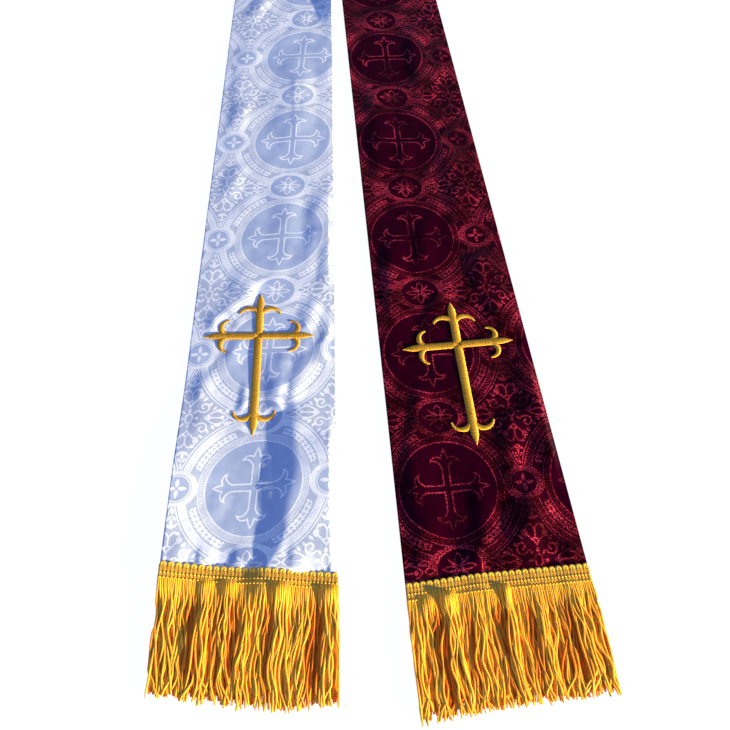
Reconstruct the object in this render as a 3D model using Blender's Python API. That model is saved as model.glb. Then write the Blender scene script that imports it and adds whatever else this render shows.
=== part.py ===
"""Reversible clergy stole, folded in half at the back of the neck and laid on a table.

One leg lies with its white brocade up and, past the fold, the other comes back over
it with its burgundy brocade up. Each leg ends in a machine-embroidered Latin cross
and a gold fringe on a picot-edged heading.

Layout frame, in metres: +Y runs from the hems to the neck, +Z is up, and Y = 0 is the
line where both fringe headings start. The empty "stole" then puts the origin at the
middle of the underside.
"""
import math
import random
from typing import NamedTuple

import bmesh
import bpy
from mathutils import Vector

MM = 0.001

# Cloth
PLY = 1.0 * MM  # one ply of brocade with its interlining
GAP = 0.3 * MM  # left between two pieces that are sewn or lie together
BAND_LENGTH = 1.245  # from the heading's upper edge to the seam at the back of the neck
BEND_START = 0.636  # above this the legs curve in towards the neck
NECK_WIDTH = 0.090
NECK_X = -0.049  # middle of the neck fold, in the layout frame
COLUMNS = 12  # across a leg
STRAIGHT_STEP = 0.014  # between the rows of a ply, in its straight part
CURVED_STEP = 0.026
RAISED_FROM = 0.40  # the back ply of the upper leg needs rows only past this

# The fold at the neck: a soft roll about a line along X
ROLL_RADIUS = 2.2 * MM  # inside the inner ply
ROLL_FACETS = 5  # in each quarter turn
ROLL_EASE = 0.075  # length over which the upper leg settles onto the lower one
EDGE_CLEARANCE = 4.0 * MM  # the upper leg stays up this far past the lower leg's edge
EDGE_DROP = 0.020  # and comes down to the table over this width

# Fringe
HEADING_DEPTH = 9.5 * MM
HEADING_THICKNESS = 1.4 * MM
PICOTS = 26
PICOT_RISE = 2.2 * MM
HEM_INSET = 1.0 * MM  # the cloth ends this far inside the heading's lower edge
FLAT_AT_HEADING = 0.045  # the heading holds the cloth flat, and the folds grow over this length
FLAT_AT_SEAM = 0.012  # and so do the seams along the sides
STRANDS = 72
STRAND_WIDTH = 1.2 * MM
STRAND_LENGTH = 0.077
STRAND_LENGTH_SPREAD = 0.08  # the shortest is this share shorter
STRAND_STATIONS = (0.08, 0.26, 0.5, 0.76, 1.0)  # shares of a strand's length
STRAND_SWAY = (0.3 * MM, 0.9 * MM)  # of a strand about its lock
LOCK_SWAY = 2.0 * MM  # of a lock of strands
LOCKS = 9
LOWER_STRAND_Z = 0.95 * MM
UPPER_STRAND_Z = 2.35 * MM

# Embroidered cross: a Latin cross with pointed arms and two hooks near each point
CROSS_UP = 0.0440
CROSS_SIDE = 0.0455
CROSS_DOWN = 0.0895
UPRIGHT_WIDTH = 6.6 * MM
BEAM_WIDTH = 5.4 * MM
POINT_LENGTH = 16.5 * MM
FOOT_POINT_LENGTH = 14.5 * MM
POINT_SHOULDER = 0.5  # share of a point's length, from its tip, where it starts to narrow
SHOULDER_WIDTH = 0.8  # of the bar's width
TIP_WIDTH = 0.5 * MM
UPRIGHT_HOOK_REACH = 14.5 * MM
BEAM_HOOK_REACH = 12.5 * MM
HOOK_BACK = 5.0 * MM  # how far the hook's end comes back towards the middle
HOOK_BULGE = 2.6 * MM  # how far its middle stands towards the point
HOOK_ROOT_WIDTH = 3.6 * MM
HOOK_END_WIDTH = 1.5 * MM
STITCH_EDGE = 0.5 * MM  # thickness of the stitches at a stroke's edge
STITCH_CROWN = 1.3 * MM  # and along its middle
HOOK_STEPS = 6
FLAT_AROUND_CROSS = 9.0 * MM  # the backing keeps the cloth flat this far from the stitches
FOLD_RETURN = 22.0 * MM  # and the folds reach their full height over this width

# Middle of the whole in the layout frame, which becomes the origin
MIDDLE_X = 0.0102
MIDDLE_Y = 0.5789


class Leg(NamedTuple):
    """One leg of the stole. Lengths in metres, slopes in metres per metre."""

    name: str
    hem_x: float  # middle of the hem
    lean: float  # of the middle line, along the straight part
    hem_width: float
    bend_width: float  # where the straight part ends
    hem_slope: float  # of the hem and its heading
    over: bool  # lies on the other leg
    cross_y: float  # height of the embroidered cross's middle above the hem
    cross_offset: float  # of the cross from the leg's middle line
    fringe_spread: float  # width of the fringe at its tips, as a share of the heading
    seed: int


WHITE = Leg(
    "white", hem_x=-0.0808, lean=-0.0116, hem_width=0.1246, bend_width=0.1052, hem_slope=-0.057,
    over=False, cross_y=0.1991, cross_offset=-0.0039, fringe_spread=0.97, seed=11,
)
BURGUNDY = Leg(
    "burgundy", hem_x=0.0922, lean=-0.1045, hem_width=0.1286, bend_width=0.1015, hem_slope=0.097,
    over=True, cross_y=0.1899, cross_offset=0.0031, fringe_spread=1.02, seed=23,
)


FOLD_ENDS = 0.35  # share of a fold's length over which each end dies out


class Fold(NamedTuple):
    """A ridge of the upper ply whose crest runs from one point of the layout to another."""

    x0: float
    y0: float
    x1: float
    y1: float
    bow: float  # of the crest to the right, at mid length, seen from its start
    height: float
    left: float  # width of the slope on the left of the crest, which ends in a crisp valley
    right: float  # width of the slope on the right, which dies out softly


WHITE_FOLDS = [
    #    x0      y0      x1      y1      bow     height    left    right
    Fold(-0.058, -0.020, -0.040, 0.150, 0.002, 8.5 * MM, 0.032, 0.026),
    Fold(-0.048, 0.100, -0.070, 0.225, 0.002, 3.0 * MM, 0.012, 0.020),
    Fold(-0.034, 0.235, -0.036, 0.385, 0.002, 4.2 * MM, 0.020, 0.012),
    Fold(-0.068, 0.255, -0.070, 0.375, 0.000, 2.2 * MM, 0.022, 0.014),
    Fold(-0.128, 0.185, -0.098, 0.285, 0.003, 3.0 * MM, 0.014, 0.016),
    Fold(-0.140, 0.085, -0.112, 0.165, 0.002, 2.4 * MM, 0.014, 0.018),
    Fold(-0.062, 0.380, -0.068, 0.565, 0.001, 1.8 * MM, 0.016, 0.014),
    Fold(-0.128, 0.400, -0.120, 0.600, -0.003, 2.2 * MM, 0.016, 0.022),
    Fold(-0.112, 0.640, -0.094, 0.860, 0.004, 2.4 * MM, 0.018, 0.022),
    Fold(-0.112, 0.880, -0.100, 1.050, 0.003, 2.0 * MM, 0.016, 0.018),
]
# Where the lower leg starts to turn towards the neck, its inner edge lifts off the table,
# both plies together.
LIFTED_EDGE = Fold(-0.013, 0.585, -0.062, 0.700, 0.000, 8.0 * MM, 0.020, 0.016)
BURGUNDY_FOLDS = [
    Fold(0.108, -0.010, 0.122, 0.085, 0.003, 4.6 * MM, 0.018, 0.022),
    Fold(0.086, -0.015, 0.083, 0.080, 0.002, 3.2 * MM, 0.014, 0.018),
    Fold(0.136, 0.060, 0.128, 0.190, 0.004, 4.4 * MM, 0.022, 0.014),
    Fold(0.044, -0.010, 0.036, 0.125, -0.003, 3.0 * MM, 0.016, 0.022),
    Fold(0.118, 0.180, 0.092, 0.300, 0.003, 3.6 * MM, 0.016, 0.020),
    Fold(0.024, 0.190, 0.026, 0.320, -0.003, 2.8 * MM, 0.014, 0.020),
    Fold(0.086, 0.300, 0.070, 0.440, 0.004, 3.2 * MM, 0.018, 0.020),
    Fold(0.014, 0.360, 0.006, 0.520, 0.002, 2.4 * MM, 0.016, 0.020),
    Fold(0.062, 0.450, 0.050, 0.610, -0.003, 3.0 * MM, 0.016, 0.020),
    Fold(-0.004, 0.620, -0.034, 0.830, 0.004, 2.6 * MM, 0.018, 0.020),
    Fold(0.040, 0.700, 0.000, 0.900, 0.004, 2.8 * MM, 0.018, 0.020),
    Fold(-0.040, 0.900, -0.062, 1.110, -0.004, 2.4 * MM, 0.018, 0.020),
]


def smooth(value, low, high):
    """0 below low, 1 above high, and an S between them."""
    share = min(1.0, max(0.0, (value - low) / (high - low)))
    return share * share * (3 - 2 * share)


# ---------------------------------------------------------------- a leg's outline


def middle(leg, y):
    """X of the leg's middle line: straight, then a parabola to the neck."""
    x = leg.hem_x + leg.lean * y
    past = max(0.0, y - BEND_START) / (BAND_LENGTH - BEND_START)
    return x + (NECK_X - leg.hem_x - leg.lean * BAND_LENGTH) * past * past


def width(leg, y):
    if y < BEND_START:
        return leg.hem_width + (leg.bend_width - leg.hem_width) * y / BEND_START
    past = (y - BEND_START) / (BAND_LENGTH - BEND_START)
    return leg.bend_width + (NECK_WIDTH - leg.bend_width) * past


def plan(leg, y, across):
    """The layout point on row y, with across from -0.5 at the left edge to 0.5."""
    side = width(leg, y) * across
    return middle(leg, y) + side, y + leg.hem_slope * side * (1 - y / BAND_LENGTH)


# ---------------------------------------------------------------- heights


def fold_height(fold, x, y):
    along = Vector((fold.x1 - fold.x0, fold.y1 - fold.y0))
    place = Vector((x - fold.x0, y - fold.y0))
    share = place.dot(along) / along.length_squared
    if not 0 < share < 1:
        return 0.0
    aside = (along.y * place.x - along.x * place.y) / along.length
    offset = aside - fold.bow * 4 * share * (1 - share)
    ends = smooth(share, 0, FOLD_ENDS) * smooth(1 - share, 0, FOLD_ENDS)
    if offset < 0:
        return fold.height * ends * max(0.0, 1 - (offset / fold.left) ** 2)
    return fold.height * ends * max(0.0, 1 - (offset / fold.right) ** 2) ** 2


def cross_distance(leg, x, y):
    """Distance in the layout from the nearest stroke of the embroidered cross."""
    ahead = cross_axis(leg)
    place = Vector((x, y)) - cross_middle(leg)
    up = place.dot(ahead)
    side = abs(place.x * ahead.y - place.y * ahead.x)
    distances = [
        math.hypot(side, max(0.0, up - CROSS_UP, -CROSS_DOWN - up)),
        math.hypot(max(0.0, side - CROSS_SIDE), up),
        math.hypot(side - CROSS_SIDE + POINT_LENGTH, max(0.0, abs(up) - BEAM_HOOK_REACH)),
    ]
    for hooks in (CROSS_UP - POINT_LENGTH, FOOT_POINT_LENGTH - CROSS_DOWN):
        distances.append(math.hypot(max(0.0, side - UPRIGHT_HOOK_REACH), up - hooks))
    return min(distances)


def folds(leg, row, across):
    """Height of the upper ply's folds over the ply below it."""
    x, y = plan(leg, row, across)
    table = BURGUNDY_FOLDS if leg.over else WHITE_FOLDS
    total = sum(fold_height(fold, x, y) for fold in table)
    clear = UPRIGHT_WIDTH / 2 + FLAT_AROUND_CROSS
    near_cross = smooth(cross_distance(leg, x, y), clear, clear + FOLD_RETURN)
    near_seam = smooth(width(leg, row) * (0.5 - abs(across)), 0, FLAT_AT_SEAM)
    return total * near_cross * near_seam * smooth(row, 0, FLAT_AT_HEADING)


def lift(leg, x, y):
    """Height of the leg's underside above the table."""
    if not leg.over:
        return fold_height(LIFTED_EDGE, x, y)
    stack = 2 * PLY + 2 * GAP
    edge = middle(WHITE, y) + width(WHITE, y) / 2 + EDGE_CLEARANCE
    resting = stack * (1 - smooth(x, edge, edge + EDGE_DROP))
    rise = 2 * ROLL_RADIUS - GAP
    return resting + rise * smooth(y, BAND_LENGTH - ROLL_EASE, BAND_LENGTH)


# ---------------------------------------------------------------- plies


def all_rows():
    """Values of Y for the rows, from the hem under the heading to the neck fold."""
    rows = [HEM_INSET - HEADING_DEPTH, 0.0]
    for end, step in ((BEND_START, STRAIGHT_STEP), (BAND_LENGTH, CURVED_STEP)):
        start = rows[-1]
        count = round((end - start) / step)
        rows += [start + (end - start) * (i + 1) / count for i in range(count)]
    return rows


def lies_flat(leg, y):
    """Whether the leg's underside is flat on the table at row y and next to it."""
    if leg.over:
        return y < RAISED_FROM
    return y < LIFTED_EDGE.y0 - 2 * STRAIGHT_STEP or y > LIFTED_EDGE.y1 + 2 * CURVED_STEP


def ply_section(leg, upper, row):
    """(underside, top) points of one ply across the leg."""
    points = []
    for i in range(COLUMNS + 1):
        across = i / COLUMNS - 0.5
        x, y = plan(leg, row, across)
        base = lift(leg, x, y)
        if upper:
            base += PLY + GAP + folds(leg, row, across)
        points.append((Vector((x, y, base)), Vector((x, y, base + PLY))))
    return points


def roll_section(leg, radius, angle):
    """The same round the neck fold, at an angle from -90 degrees below to 90 above."""
    centre = 2 * PLY + GAP + ROLL_RADIUS
    points = []
    for i in range(COLUMNS + 1):
        x, y = plan(leg, BAND_LENGTH, i / COLUMNS - 0.5)
        near, far = (
            Vector((x, y + r * math.cos(angle), centre + r * math.sin(angle)))
            for r in (radius, radius + PLY)
        )
        points.append((near, far) if leg.over else (far, near))
    return points


def ply(leg, upper):
    """Sections of one ply, from the hem to its edge at the neck seam."""
    rows = all_rows()
    if not upper:
        rows = [y for y in rows if y in (rows[0], rows[-1]) or not lies_flat(leg, y)]
    sections = [ply_section(leg, upper, row) for row in rows]
    inner = upper != leg.over
    radius = ROLL_RADIUS if inner else ROLL_RADIUS + PLY + GAP
    seam = GAP / 2 / radius
    for i in range(1, ROLL_FACETS + 1):
        turn = (math.pi / 2 - seam) * (1 - i / ROLL_FACETS) + seam
        sections.append(roll_section(leg, radius, turn if leg.over else -turn))
    return sections


def wall(name, sections, material, parent):
    """A closed wall through the sections, each a list of (underside, top) points."""
    mesh = bmesh.new()
    grid = [[[mesh.verts.new(p) for p in pair] for pair in row] for row in sections]
    last_row, last_column = len(grid) - 1, len(grid[0]) - 1
    for r in range(last_row):
        for c in range(last_column):
            a, b, d, e = grid[r][c], grid[r][c + 1], grid[r + 1][c + 1], grid[r + 1][c]
            mesh.faces.new((a[1], b[1], d[1], e[1]))
            mesh.faces.new((a[0], e[0], d[0], b[0]))
    for r in range(last_row):
        for c, turn in ((0, 1), (last_column, -1)):
            a, b = grid[r][c], grid[r + 1][c]
            mesh.faces.new((a[0], a[1], b[1], b[0])[::turn])
    for c in range(last_column):
        for r, turn in ((0, -1), (last_row, 1)):
            a, b = grid[r][c], grid[r][c + 1]
            mesh.faces.new((a[0], a[1], b[1], b[0])[::turn])
    return add_object(name, mesh, material, parent)


# ---------------------------------------------------------------- fringe


def heading_point(leg, across, down):
    """Layout point on the heading, down metres below its upper edge."""
    x, y = plan(leg, 0.0, across)
    return Vector((x, y)) - cross_axis(leg) * down


def strand_path(leg, index, rng):
    """Points of one strand's middle line after its root, in the layout."""
    across = (index + 0.5) / STRANDS - 0.5
    root = heading_point(leg, across, HEADING_DEPTH)
    down = -cross_axis(leg)
    aside = Vector((-down.y, down.x))
    rest_z = LOWER_STRAND_Z if index % 2 else UPPER_STRAND_Z
    top_z = 2 * PLY + 2 * GAP + HEADING_THICKNESS / 2
    length = STRAND_LENGTH * (1 - STRAND_LENGTH_SPREAD * rng.random())
    phase, sway = rng.uniform(0, 2 * math.pi), rng.uniform(*STRAND_SWAY)
    path = []
    for share in STRAND_STATIONS:
        spread = across * leg.hem_width * (leg.fringe_spread - 1) * share
        lock = LOCK_SWAY * math.sin(LOCKS * math.pi * across + leg.seed) * smooth(share, 0, 0.6)
        wave = sway * math.sin(phase + 5.0 * share) * smooth(share, 0.05, 0.4)
        place = root + down * length * share + aside * (spread + lock + wave)
        z = rest_z + (top_z - rest_z) * (1 - smooth(share, -0.1, 0.3))
        path.append(Vector((place.x, place.y, z)))
    return path


def fringe(leg, material, parent):
    """The heading with its picots, and the strands drawn out of its lower side."""
    rng = random.Random(leg.seed)
    low = 2 * PLY + 2 * GAP
    outline = [heading_point(leg, -0.5, HEADING_DEPTH), heading_point(leg, -0.5, 0.0)]
    for i in range(PICOTS):
        for share, rise in ((0.2, 0.75), (0.5, 1.0), (0.8, 0.75), (1.0, 0.0)):
            across = (i + share) / PICOTS - 0.5
            outline.append(heading_point(leg, across, -rise * PICOT_RISE))
    outline.append(heading_point(leg, 0.5, HEADING_DEPTH))
    root_share = STRAND_WIDTH * STRANDS / leg.hem_width
    for i in reversed(range(STRANDS)):
        for side in (0.5, -0.5):
            across = (i + 0.5 + side * root_share) / STRANDS - 0.5
            outline.append(heading_point(leg, across, HEADING_DEPTH))
    mesh = bmesh.new()
    rings = [
        [mesh.verts.new((p.x, p.y, z)) for p in outline]
        for z in (low, low + HEADING_THICKNESS)
    ]
    mesh.faces.new(rings[1])
    mesh.faces.new(rings[0][::-1])
    first_root = len(outline) - 2 * STRANDS
    roots = []
    for i in range(len(outline)):
        j = (i + 1) % len(outline)
        side = mesh.faces.new((rings[0][i], rings[0][j], rings[1][j], rings[1][i]))
        if i >= first_root and (i - first_root) % 2 == 0:
            roots.append(side)
    bmesh.ops.recalc_face_normals(mesh, faces=mesh.faces)  # a root is drawn out along its normal
    for index, face in zip(reversed(range(STRANDS)), roots):
        draw_strand(mesh, face, strand_path(leg, index, rng))
    return add_object(f"fringe_{leg.name}", mesh, material, parent)


def draw_strand(mesh, face, path):
    """Draws the face out along the path, narrowing to a strand of even width."""
    for step, place in enumerate(path):
        face = bmesh.ops.extrude_discrete_faces(mesh, faces=[face])["faces"][0]
        centre = face.calc_center_median()
        scale = 0.8 if step == 0 else 0.97
        for vertex in face.verts:
            offset = vertex.co - centre
            offset.z *= 0.85
            vertex.co = place + offset * scale


# ---------------------------------------------------------------- embroidered cross


def cross_axis(leg):
    """Unit vector in the layout from the hem up the leg."""
    return Vector((leg.lean, 1.0)).normalized()


def cross_middle(leg):
    return Vector((middle(leg, leg.cross_y) + leg.cross_offset, leg.cross_y))


def stroke(name, line, widths, place, material, parent):
    """A stroke of satin stitch: flat underneath, with a crown along its middle line."""
    mesh = bmesh.new()
    rings = []
    for i, point in enumerate(line):
        ahead = (line[min(i + 1, len(line) - 1)] - line[max(i - 1, 0)]).normalized()
        left = Vector((-ahead.y, ahead.x)) * widths[i] / 2
        fullness = min(1.0, widths[i] / BEAM_WIDTH)
        crown = STITCH_EDGE + (STITCH_CROWN - STITCH_EDGE) * fullness
        section = ((left, 0), (left, STITCH_EDGE), (left * 0, crown), (-left, STITCH_EDGE), (-left, 0))
        rings.append([mesh.verts.new(place(point + aside, z)) for aside, z in section])
    for a, b in zip(rings, rings[1:]):
        for i in range(5):
            j = (i + 1) % 5
            mesh.faces.new((a[i], a[j], b[j], b[i]))
    mesh.faces.new(rings[0])
    mesh.faces.new(rings[-1])
    return add_object(name, mesh, material, parent)


def arc_through(start, bulge, end, steps):
    """Points on the circle through three points, from start to end."""
    chord, other = end - start, bulge - start
    turn = 2 * (chord.x * other.y - chord.y * other.x)
    reach = Vector((
        (other.y * chord.length_squared - chord.y * other.length_squared) / turn,
        (chord.x * other.length_squared - other.x * chord.length_squared) / turn,
    ))
    centre = start + reach
    first, last = start - centre, end - centre
    angle = first.angle_signed(last)
    points = []
    for i in range(steps + 1):
        a = -angle * i / steps
        points.append(centre + Vector((
            first.x * math.cos(a) - first.y * math.sin(a),
            first.x * math.sin(a) + first.y * math.cos(a),
        )))
    return points


def bar(out, start, end, start_point, end_point, bar_width):
    """(middle line, widths) of a bar with a point at each end, from start to end along out."""
    marks = [
        (start, TIP_WIDTH),
        (start + start_point * POINT_SHOULDER, bar_width * SHOULDER_WIDTH),
        (start + start_point, bar_width),
        (end - end_point, bar_width),
        (end - end_point * POINT_SHOULDER, bar_width * SHOULDER_WIDTH),
        (end, TIP_WIDTH),
    ]
    return [out * mark for mark, _ in marks], [stroke_width for _, stroke_width in marks]


def hook(out, hand, root, reach):
    """(middle line, widths) of a hook that starts at root on the arm that points along out."""
    aside = Vector((-out.y, out.x)) * hand
    start = out * root
    bulge = start + aside * reach / 2 + out * HOOK_BULGE
    end = start + aside * reach - out * HOOK_BACK
    widths = [
        HOOK_ROOT_WIDTH + (HOOK_END_WIDTH - HOOK_ROOT_WIDTH) * i / HOOK_STEPS
        for i in range(HOOK_STEPS + 1)
    ]
    return arc_through(start, bulge, end, HOOK_STEPS), widths


def cross_strokes():
    """(middle line, widths) of each stroke, about the cross's middle, with +Y up."""
    up, right = Vector((0, 1)), Vector((1, 0))
    strokes = [
        bar(up, -CROSS_DOWN, CROSS_UP, FOOT_POINT_LENGTH, POINT_LENGTH, UPRIGHT_WIDTH),
        bar(right, -CROSS_SIDE, CROSS_SIDE, POINT_LENGTH, POINT_LENGTH, BEAM_WIDTH),
    ]
    for out, root, reach in (
        (up, CROSS_UP - POINT_LENGTH, UPRIGHT_HOOK_REACH),
        (-up, CROSS_DOWN - FOOT_POINT_LENGTH, UPRIGHT_HOOK_REACH),
        (right, CROSS_SIDE - POINT_LENGTH, BEAM_HOOK_REACH),
        (-right, CROSS_SIDE - POINT_LENGTH, BEAM_HOOK_REACH),
    ):
        strokes += [hook(out, 1, root, reach), hook(out, -1, root, reach)]
    return strokes


def embroidered_cross(leg, material, parent):
    """All strokes of one cross as one solid, lying on the leg's upper ply."""
    up = cross_axis(leg)
    side = Vector((up.y, -up.x))
    low = 2 * PLY + 2 * GAP

    def place(point, z):
        spot = cross_middle(leg) + side * point.x + up * point.y
        return Vector((spot.x, spot.y, low + z))

    body = None
    for i, (line, widths) in enumerate(cross_strokes()):
        name = f"cross_{leg.name}_stroke_{i}" if body else f"cross_{leg.name}"
        piece = stroke(name, line, widths, place, material, parent)
        if body is None:
            body = piece
            continue
        piece.hide_render = True
        piece.display_type = "WIRE"
        piece.hide_set(True)
        join = body.modifiers.new(f"stroke_{i}", "BOOLEAN")
        join.operation = "UNION"
        join.solver = "EXACT"
        join.object = piece


# ---------------------------------------------------------------- objects


def add_object(name, mesh, material, parent):
    bmesh.ops.recalc_face_normals(mesh, faces=mesh.faces)
    data = bpy.data.meshes.new(name)
    mesh.to_mesh(data)
    mesh.free()
    data.shade_smooth()
    data.set_sharp_from_angle(angle=math.radians(40))
    data.materials.append(material)
    thing = bpy.data.objects.new(name, data)
    thing.parent = parent
    bpy.context.scene.collection.objects.link(thing)
    return thing


def cloth_material(name, colour, roughness):
    material = bpy.data.materials.new(name)
    material.use_nodes = True
    shader = material.node_tree.nodes["Principled BSDF"]
    shader.inputs["Base Color"].default_value = (*colour, 1.0)
    shader.inputs["Roughness"].default_value = roughness
    shader.inputs["Metallic"].default_value = 0.0
    material.diffuse_color = (*colour, 1.0)
    return material


def main():
    for thing in list(bpy.data.objects):
        bpy.data.objects.remove(thing)
    stole = bpy.data.objects.new("stole", None)
    stole.location = (-MIDDLE_X, -MIDDLE_Y, 0.0)
    bpy.context.scene.collection.objects.link(stole)

    white = cloth_material("white_brocade", (0.62, 0.67, 0.84), 0.45)
    burgundy = cloth_material("burgundy_brocade", (0.10, 0.005, 0.018), 0.45)
    thread = cloth_material("gold_embroidery", (0.80, 0.46, 0.03), 0.4)
    rayon = cloth_material("gold_fringe", (0.86, 0.50, 0.05), 0.45)

    for leg, top, back in ((WHITE, white, burgundy), (BURGUNDY, burgundy, white)):
        wall(f"{leg.name}_leg_top", ply(leg, upper=True), top, stole)
        wall(f"{leg.name}_leg_back", ply(leg, upper=False), back, stole)
        embroidered_cross(leg, thread, stole)
        fringe(leg, rayon, stole)


main()
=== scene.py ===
# %% [markdown]
# # A reversible clergy stole
# A clergy stole is one long narrow band of brocade with a second band of another colour sewn
# to its back, so it can be worn either way round. This one is folded in half at the back of
# the neck and laid on a table: the white leg lies below, the burgundy leg comes back over it.
# Each leg ends in an embroidered cross and a gold fringe.
#
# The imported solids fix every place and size. This script dresses them: it weaves the
# brocade's figures as real outlines, lays the creases in the cloth, stitches the crosses and
# hangs the fringe thread by thread.

import math
import random
from itertools import product
from typing import NamedTuple

import bmesh
import bpy
import numpy as np
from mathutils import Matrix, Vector
from mathutils.geometry import delaunay_2d_cdt


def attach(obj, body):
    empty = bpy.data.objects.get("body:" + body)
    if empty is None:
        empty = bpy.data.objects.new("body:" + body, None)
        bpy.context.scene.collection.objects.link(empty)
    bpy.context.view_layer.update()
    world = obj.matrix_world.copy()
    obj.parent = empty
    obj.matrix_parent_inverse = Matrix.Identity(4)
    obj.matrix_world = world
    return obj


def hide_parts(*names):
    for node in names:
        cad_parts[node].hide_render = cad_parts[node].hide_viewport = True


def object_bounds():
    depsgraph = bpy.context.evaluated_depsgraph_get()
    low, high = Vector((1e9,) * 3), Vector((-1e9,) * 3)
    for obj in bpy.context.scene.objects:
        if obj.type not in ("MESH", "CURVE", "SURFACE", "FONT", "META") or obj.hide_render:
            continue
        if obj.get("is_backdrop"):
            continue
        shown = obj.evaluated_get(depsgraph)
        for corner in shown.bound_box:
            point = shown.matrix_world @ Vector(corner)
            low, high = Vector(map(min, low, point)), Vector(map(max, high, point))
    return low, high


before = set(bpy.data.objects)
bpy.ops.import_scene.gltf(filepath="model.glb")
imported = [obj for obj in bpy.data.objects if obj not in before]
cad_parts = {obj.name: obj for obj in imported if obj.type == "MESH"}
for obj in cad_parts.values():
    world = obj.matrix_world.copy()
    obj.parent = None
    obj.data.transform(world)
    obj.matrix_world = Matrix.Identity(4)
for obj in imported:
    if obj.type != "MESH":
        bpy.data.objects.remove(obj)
cad_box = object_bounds()
print("solids:", ", ".join(sorted(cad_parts)))

# %% [markdown]
# ## The two legs
# Both legs are cut to the same plan. A leg is described by a few named values: where its hem
# is, how it leans on the table, how it narrows towards the neck. Every later step asks the
# same small functions for a place on the cloth, so that brocade, stitches and fringe can't
# drift apart. A place on the cloth is given as (across, row): across runs from -0.5 at the
# left edge to 0.5 at the right, row is the distance up the leg from the fringe's heading.

# %% Sizes of the cloth
MM = 0.001
PLY = 1.0 * MM  # one ply of brocade with its interlining
GAP = 0.3 * MM  # between two plies
BAND_LENGTH = 1.245  # from the heading's upper edge to the fold at the neck
BEND_START = 0.636  # above this the legs curve in towards the neck
NECK_WIDTH = 0.090
NECK_X = -0.049  # middle of the neck, from side to side
ROLL_RADIUS = 2.2 * MM  # of the fold at the neck, inside
ROLL_EASE = 0.075  # the burgundy leg climbs to the roll over this length
EDGE_CLEARANCE = 4.0 * MM  # past the white leg's edge it comes down again
EDGE_DROP = 0.020  # over this width
HEADING_DEPTH = 9.5 * MM
HEM_INSET = 1.0 * MM  # the cloth ends this far inside the heading's lower edge
HEM_ROW = HEM_INSET - HEADING_DEPTH
ORIGIN = np.array([0.0102, 0.5789, 0.0])  # the row frame's origin, in this plan
print(f"from heading to neck: {BAND_LENGTH * 100:.1f} cm")

# %% [markdown]
# The two legs are cut alike but laid by hand, so each has its own lean, hem and trim.

# %% Describe the two legs
class Leg(NamedTuple):
    name: str
    hem_x: float  # middle of the hem
    lean: float  # of the middle line, in metres a metre
    hem_width: float
    bend_width: float  # where the curve to the neck begins
    hem_slope: float
    over: bool  # lies on the other leg
    cross_row: float  # of the embroidered cross's crossing
    cross_offset: float  # of the cross from the middle line
    hem_droop: float  # of the left corner of the hem
    heading_shift: float  # of the trim down the leg
    picots: int
    fringe_length: float
    fringe_spread: float
    fringe_extra: tuple  # millimetres more at the left end, the quarters and the right end
    seed: int


WHITE = Leg(
    "white", hem_x=-0.0808, lean=-0.0116, hem_width=0.1246, bend_width=0.1052, hem_slope=-0.057,
    over=False, cross_row=0.1983, cross_offset=-0.0039, hem_droop=0.0, heading_shift=-0.0020,
    picots=24, fringe_length=0.0815, fringe_spread=0.99, fringe_extra=(0, 2.5, 3.0, 4.0, -3.0), seed=11,
)
BURGUNDY = Leg(
    "burgundy", hem_x=0.0922, lean=-0.1045, hem_width=0.1286, bend_width=0.1015, hem_slope=0.097,
    over=True, cross_row=0.1899, cross_offset=0.0031, hem_droop=0.0022, heading_shift=0.0008,
    picots=27, fringe_length=0.0850, fringe_spread=1.01, fringe_extra=(0, 0, 0, 0, 0), seed=23,
)
LEGS = (WHITE, BURGUNDY)
for leg in LEGS:
    print(f"{leg.name} leg: hem {leg.hem_width * 1000:.0f} mm, neck {NECK_WIDTH * 1000:.0f} mm wide")

# %% [markdown]
# A place on the cloth becomes a place on the table in two steps: find the middle line at that
# row, then go aside by a share of the width.

# %% Find a place on a leg
def smooth(value, low, high):
    """0 below low, 1 above high, and an S between them."""
    share = np.clip((value - low) / (high - low), 0, 1)
    return share * share * (3 - 2 * share)


def middle(leg, row):
    """Where the leg's middle line is, from side to side: straight, then a curve to the neck."""
    past = np.maximum(0, row - BEND_START) / (BAND_LENGTH - BEND_START)
    pull = NECK_X - leg.hem_x - leg.lean * BAND_LENGTH
    return leg.hem_x + leg.lean * row + pull * past**2


def width(leg, row):
    """From edge to edge: it narrows evenly to the bend, then evenly to the neck."""
    rows = [-1, 0, BEND_START, BAND_LENGTH, 2]
    slope = (leg.hem_width - leg.bend_width) / BEND_START
    widths = [leg.hem_width + slope, leg.hem_width, leg.bend_width, NECK_WIDTH, NECK_WIDTH]
    return np.interp(row, rows, widths)


def plan(leg, across, row):
    """The place on the table under a place on the cloth."""
    side = width(leg, row) * across
    droop = leg.hem_droop * smooth(-across, 0.05, 0.55) * (1 - smooth(row, 0, 0.15))
    return middle(leg, row) + side, row + leg.hem_slope * side * (1 - row / BAND_LENGTH) - droop


for leg in LEGS:
    print(f"{leg.name} neck: {plan(leg, 0.0, BAND_LENGTH)[1] - plan(leg, 0.0, 0.0)[1]:.3f} m up")

# %% [markdown]
# ## Creases
# The cloth is a satin with some body. It lies flat at its seams, at the heading and round the
# stiff backing of the cross, and lifts in long soft ridges between them. A simulation would
# give ridges, but not these ones, so each is listed one by one: the line of its crest, how high
# it stands and how wide each flank is. The left flank ends in a crisp valley and the right one
# dies away, as on cloth that was smoothed from one side.

# %% List the long creases
class Crease(NamedTuple):
    x0: float  # where the crest starts and ends, on the table
    y0: float
    x1: float
    y1: float
    bow: float  # of the crest to the right at mid length
    height: float
    left: float  # width of the flank on the left, and on the right
    right: float


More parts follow.
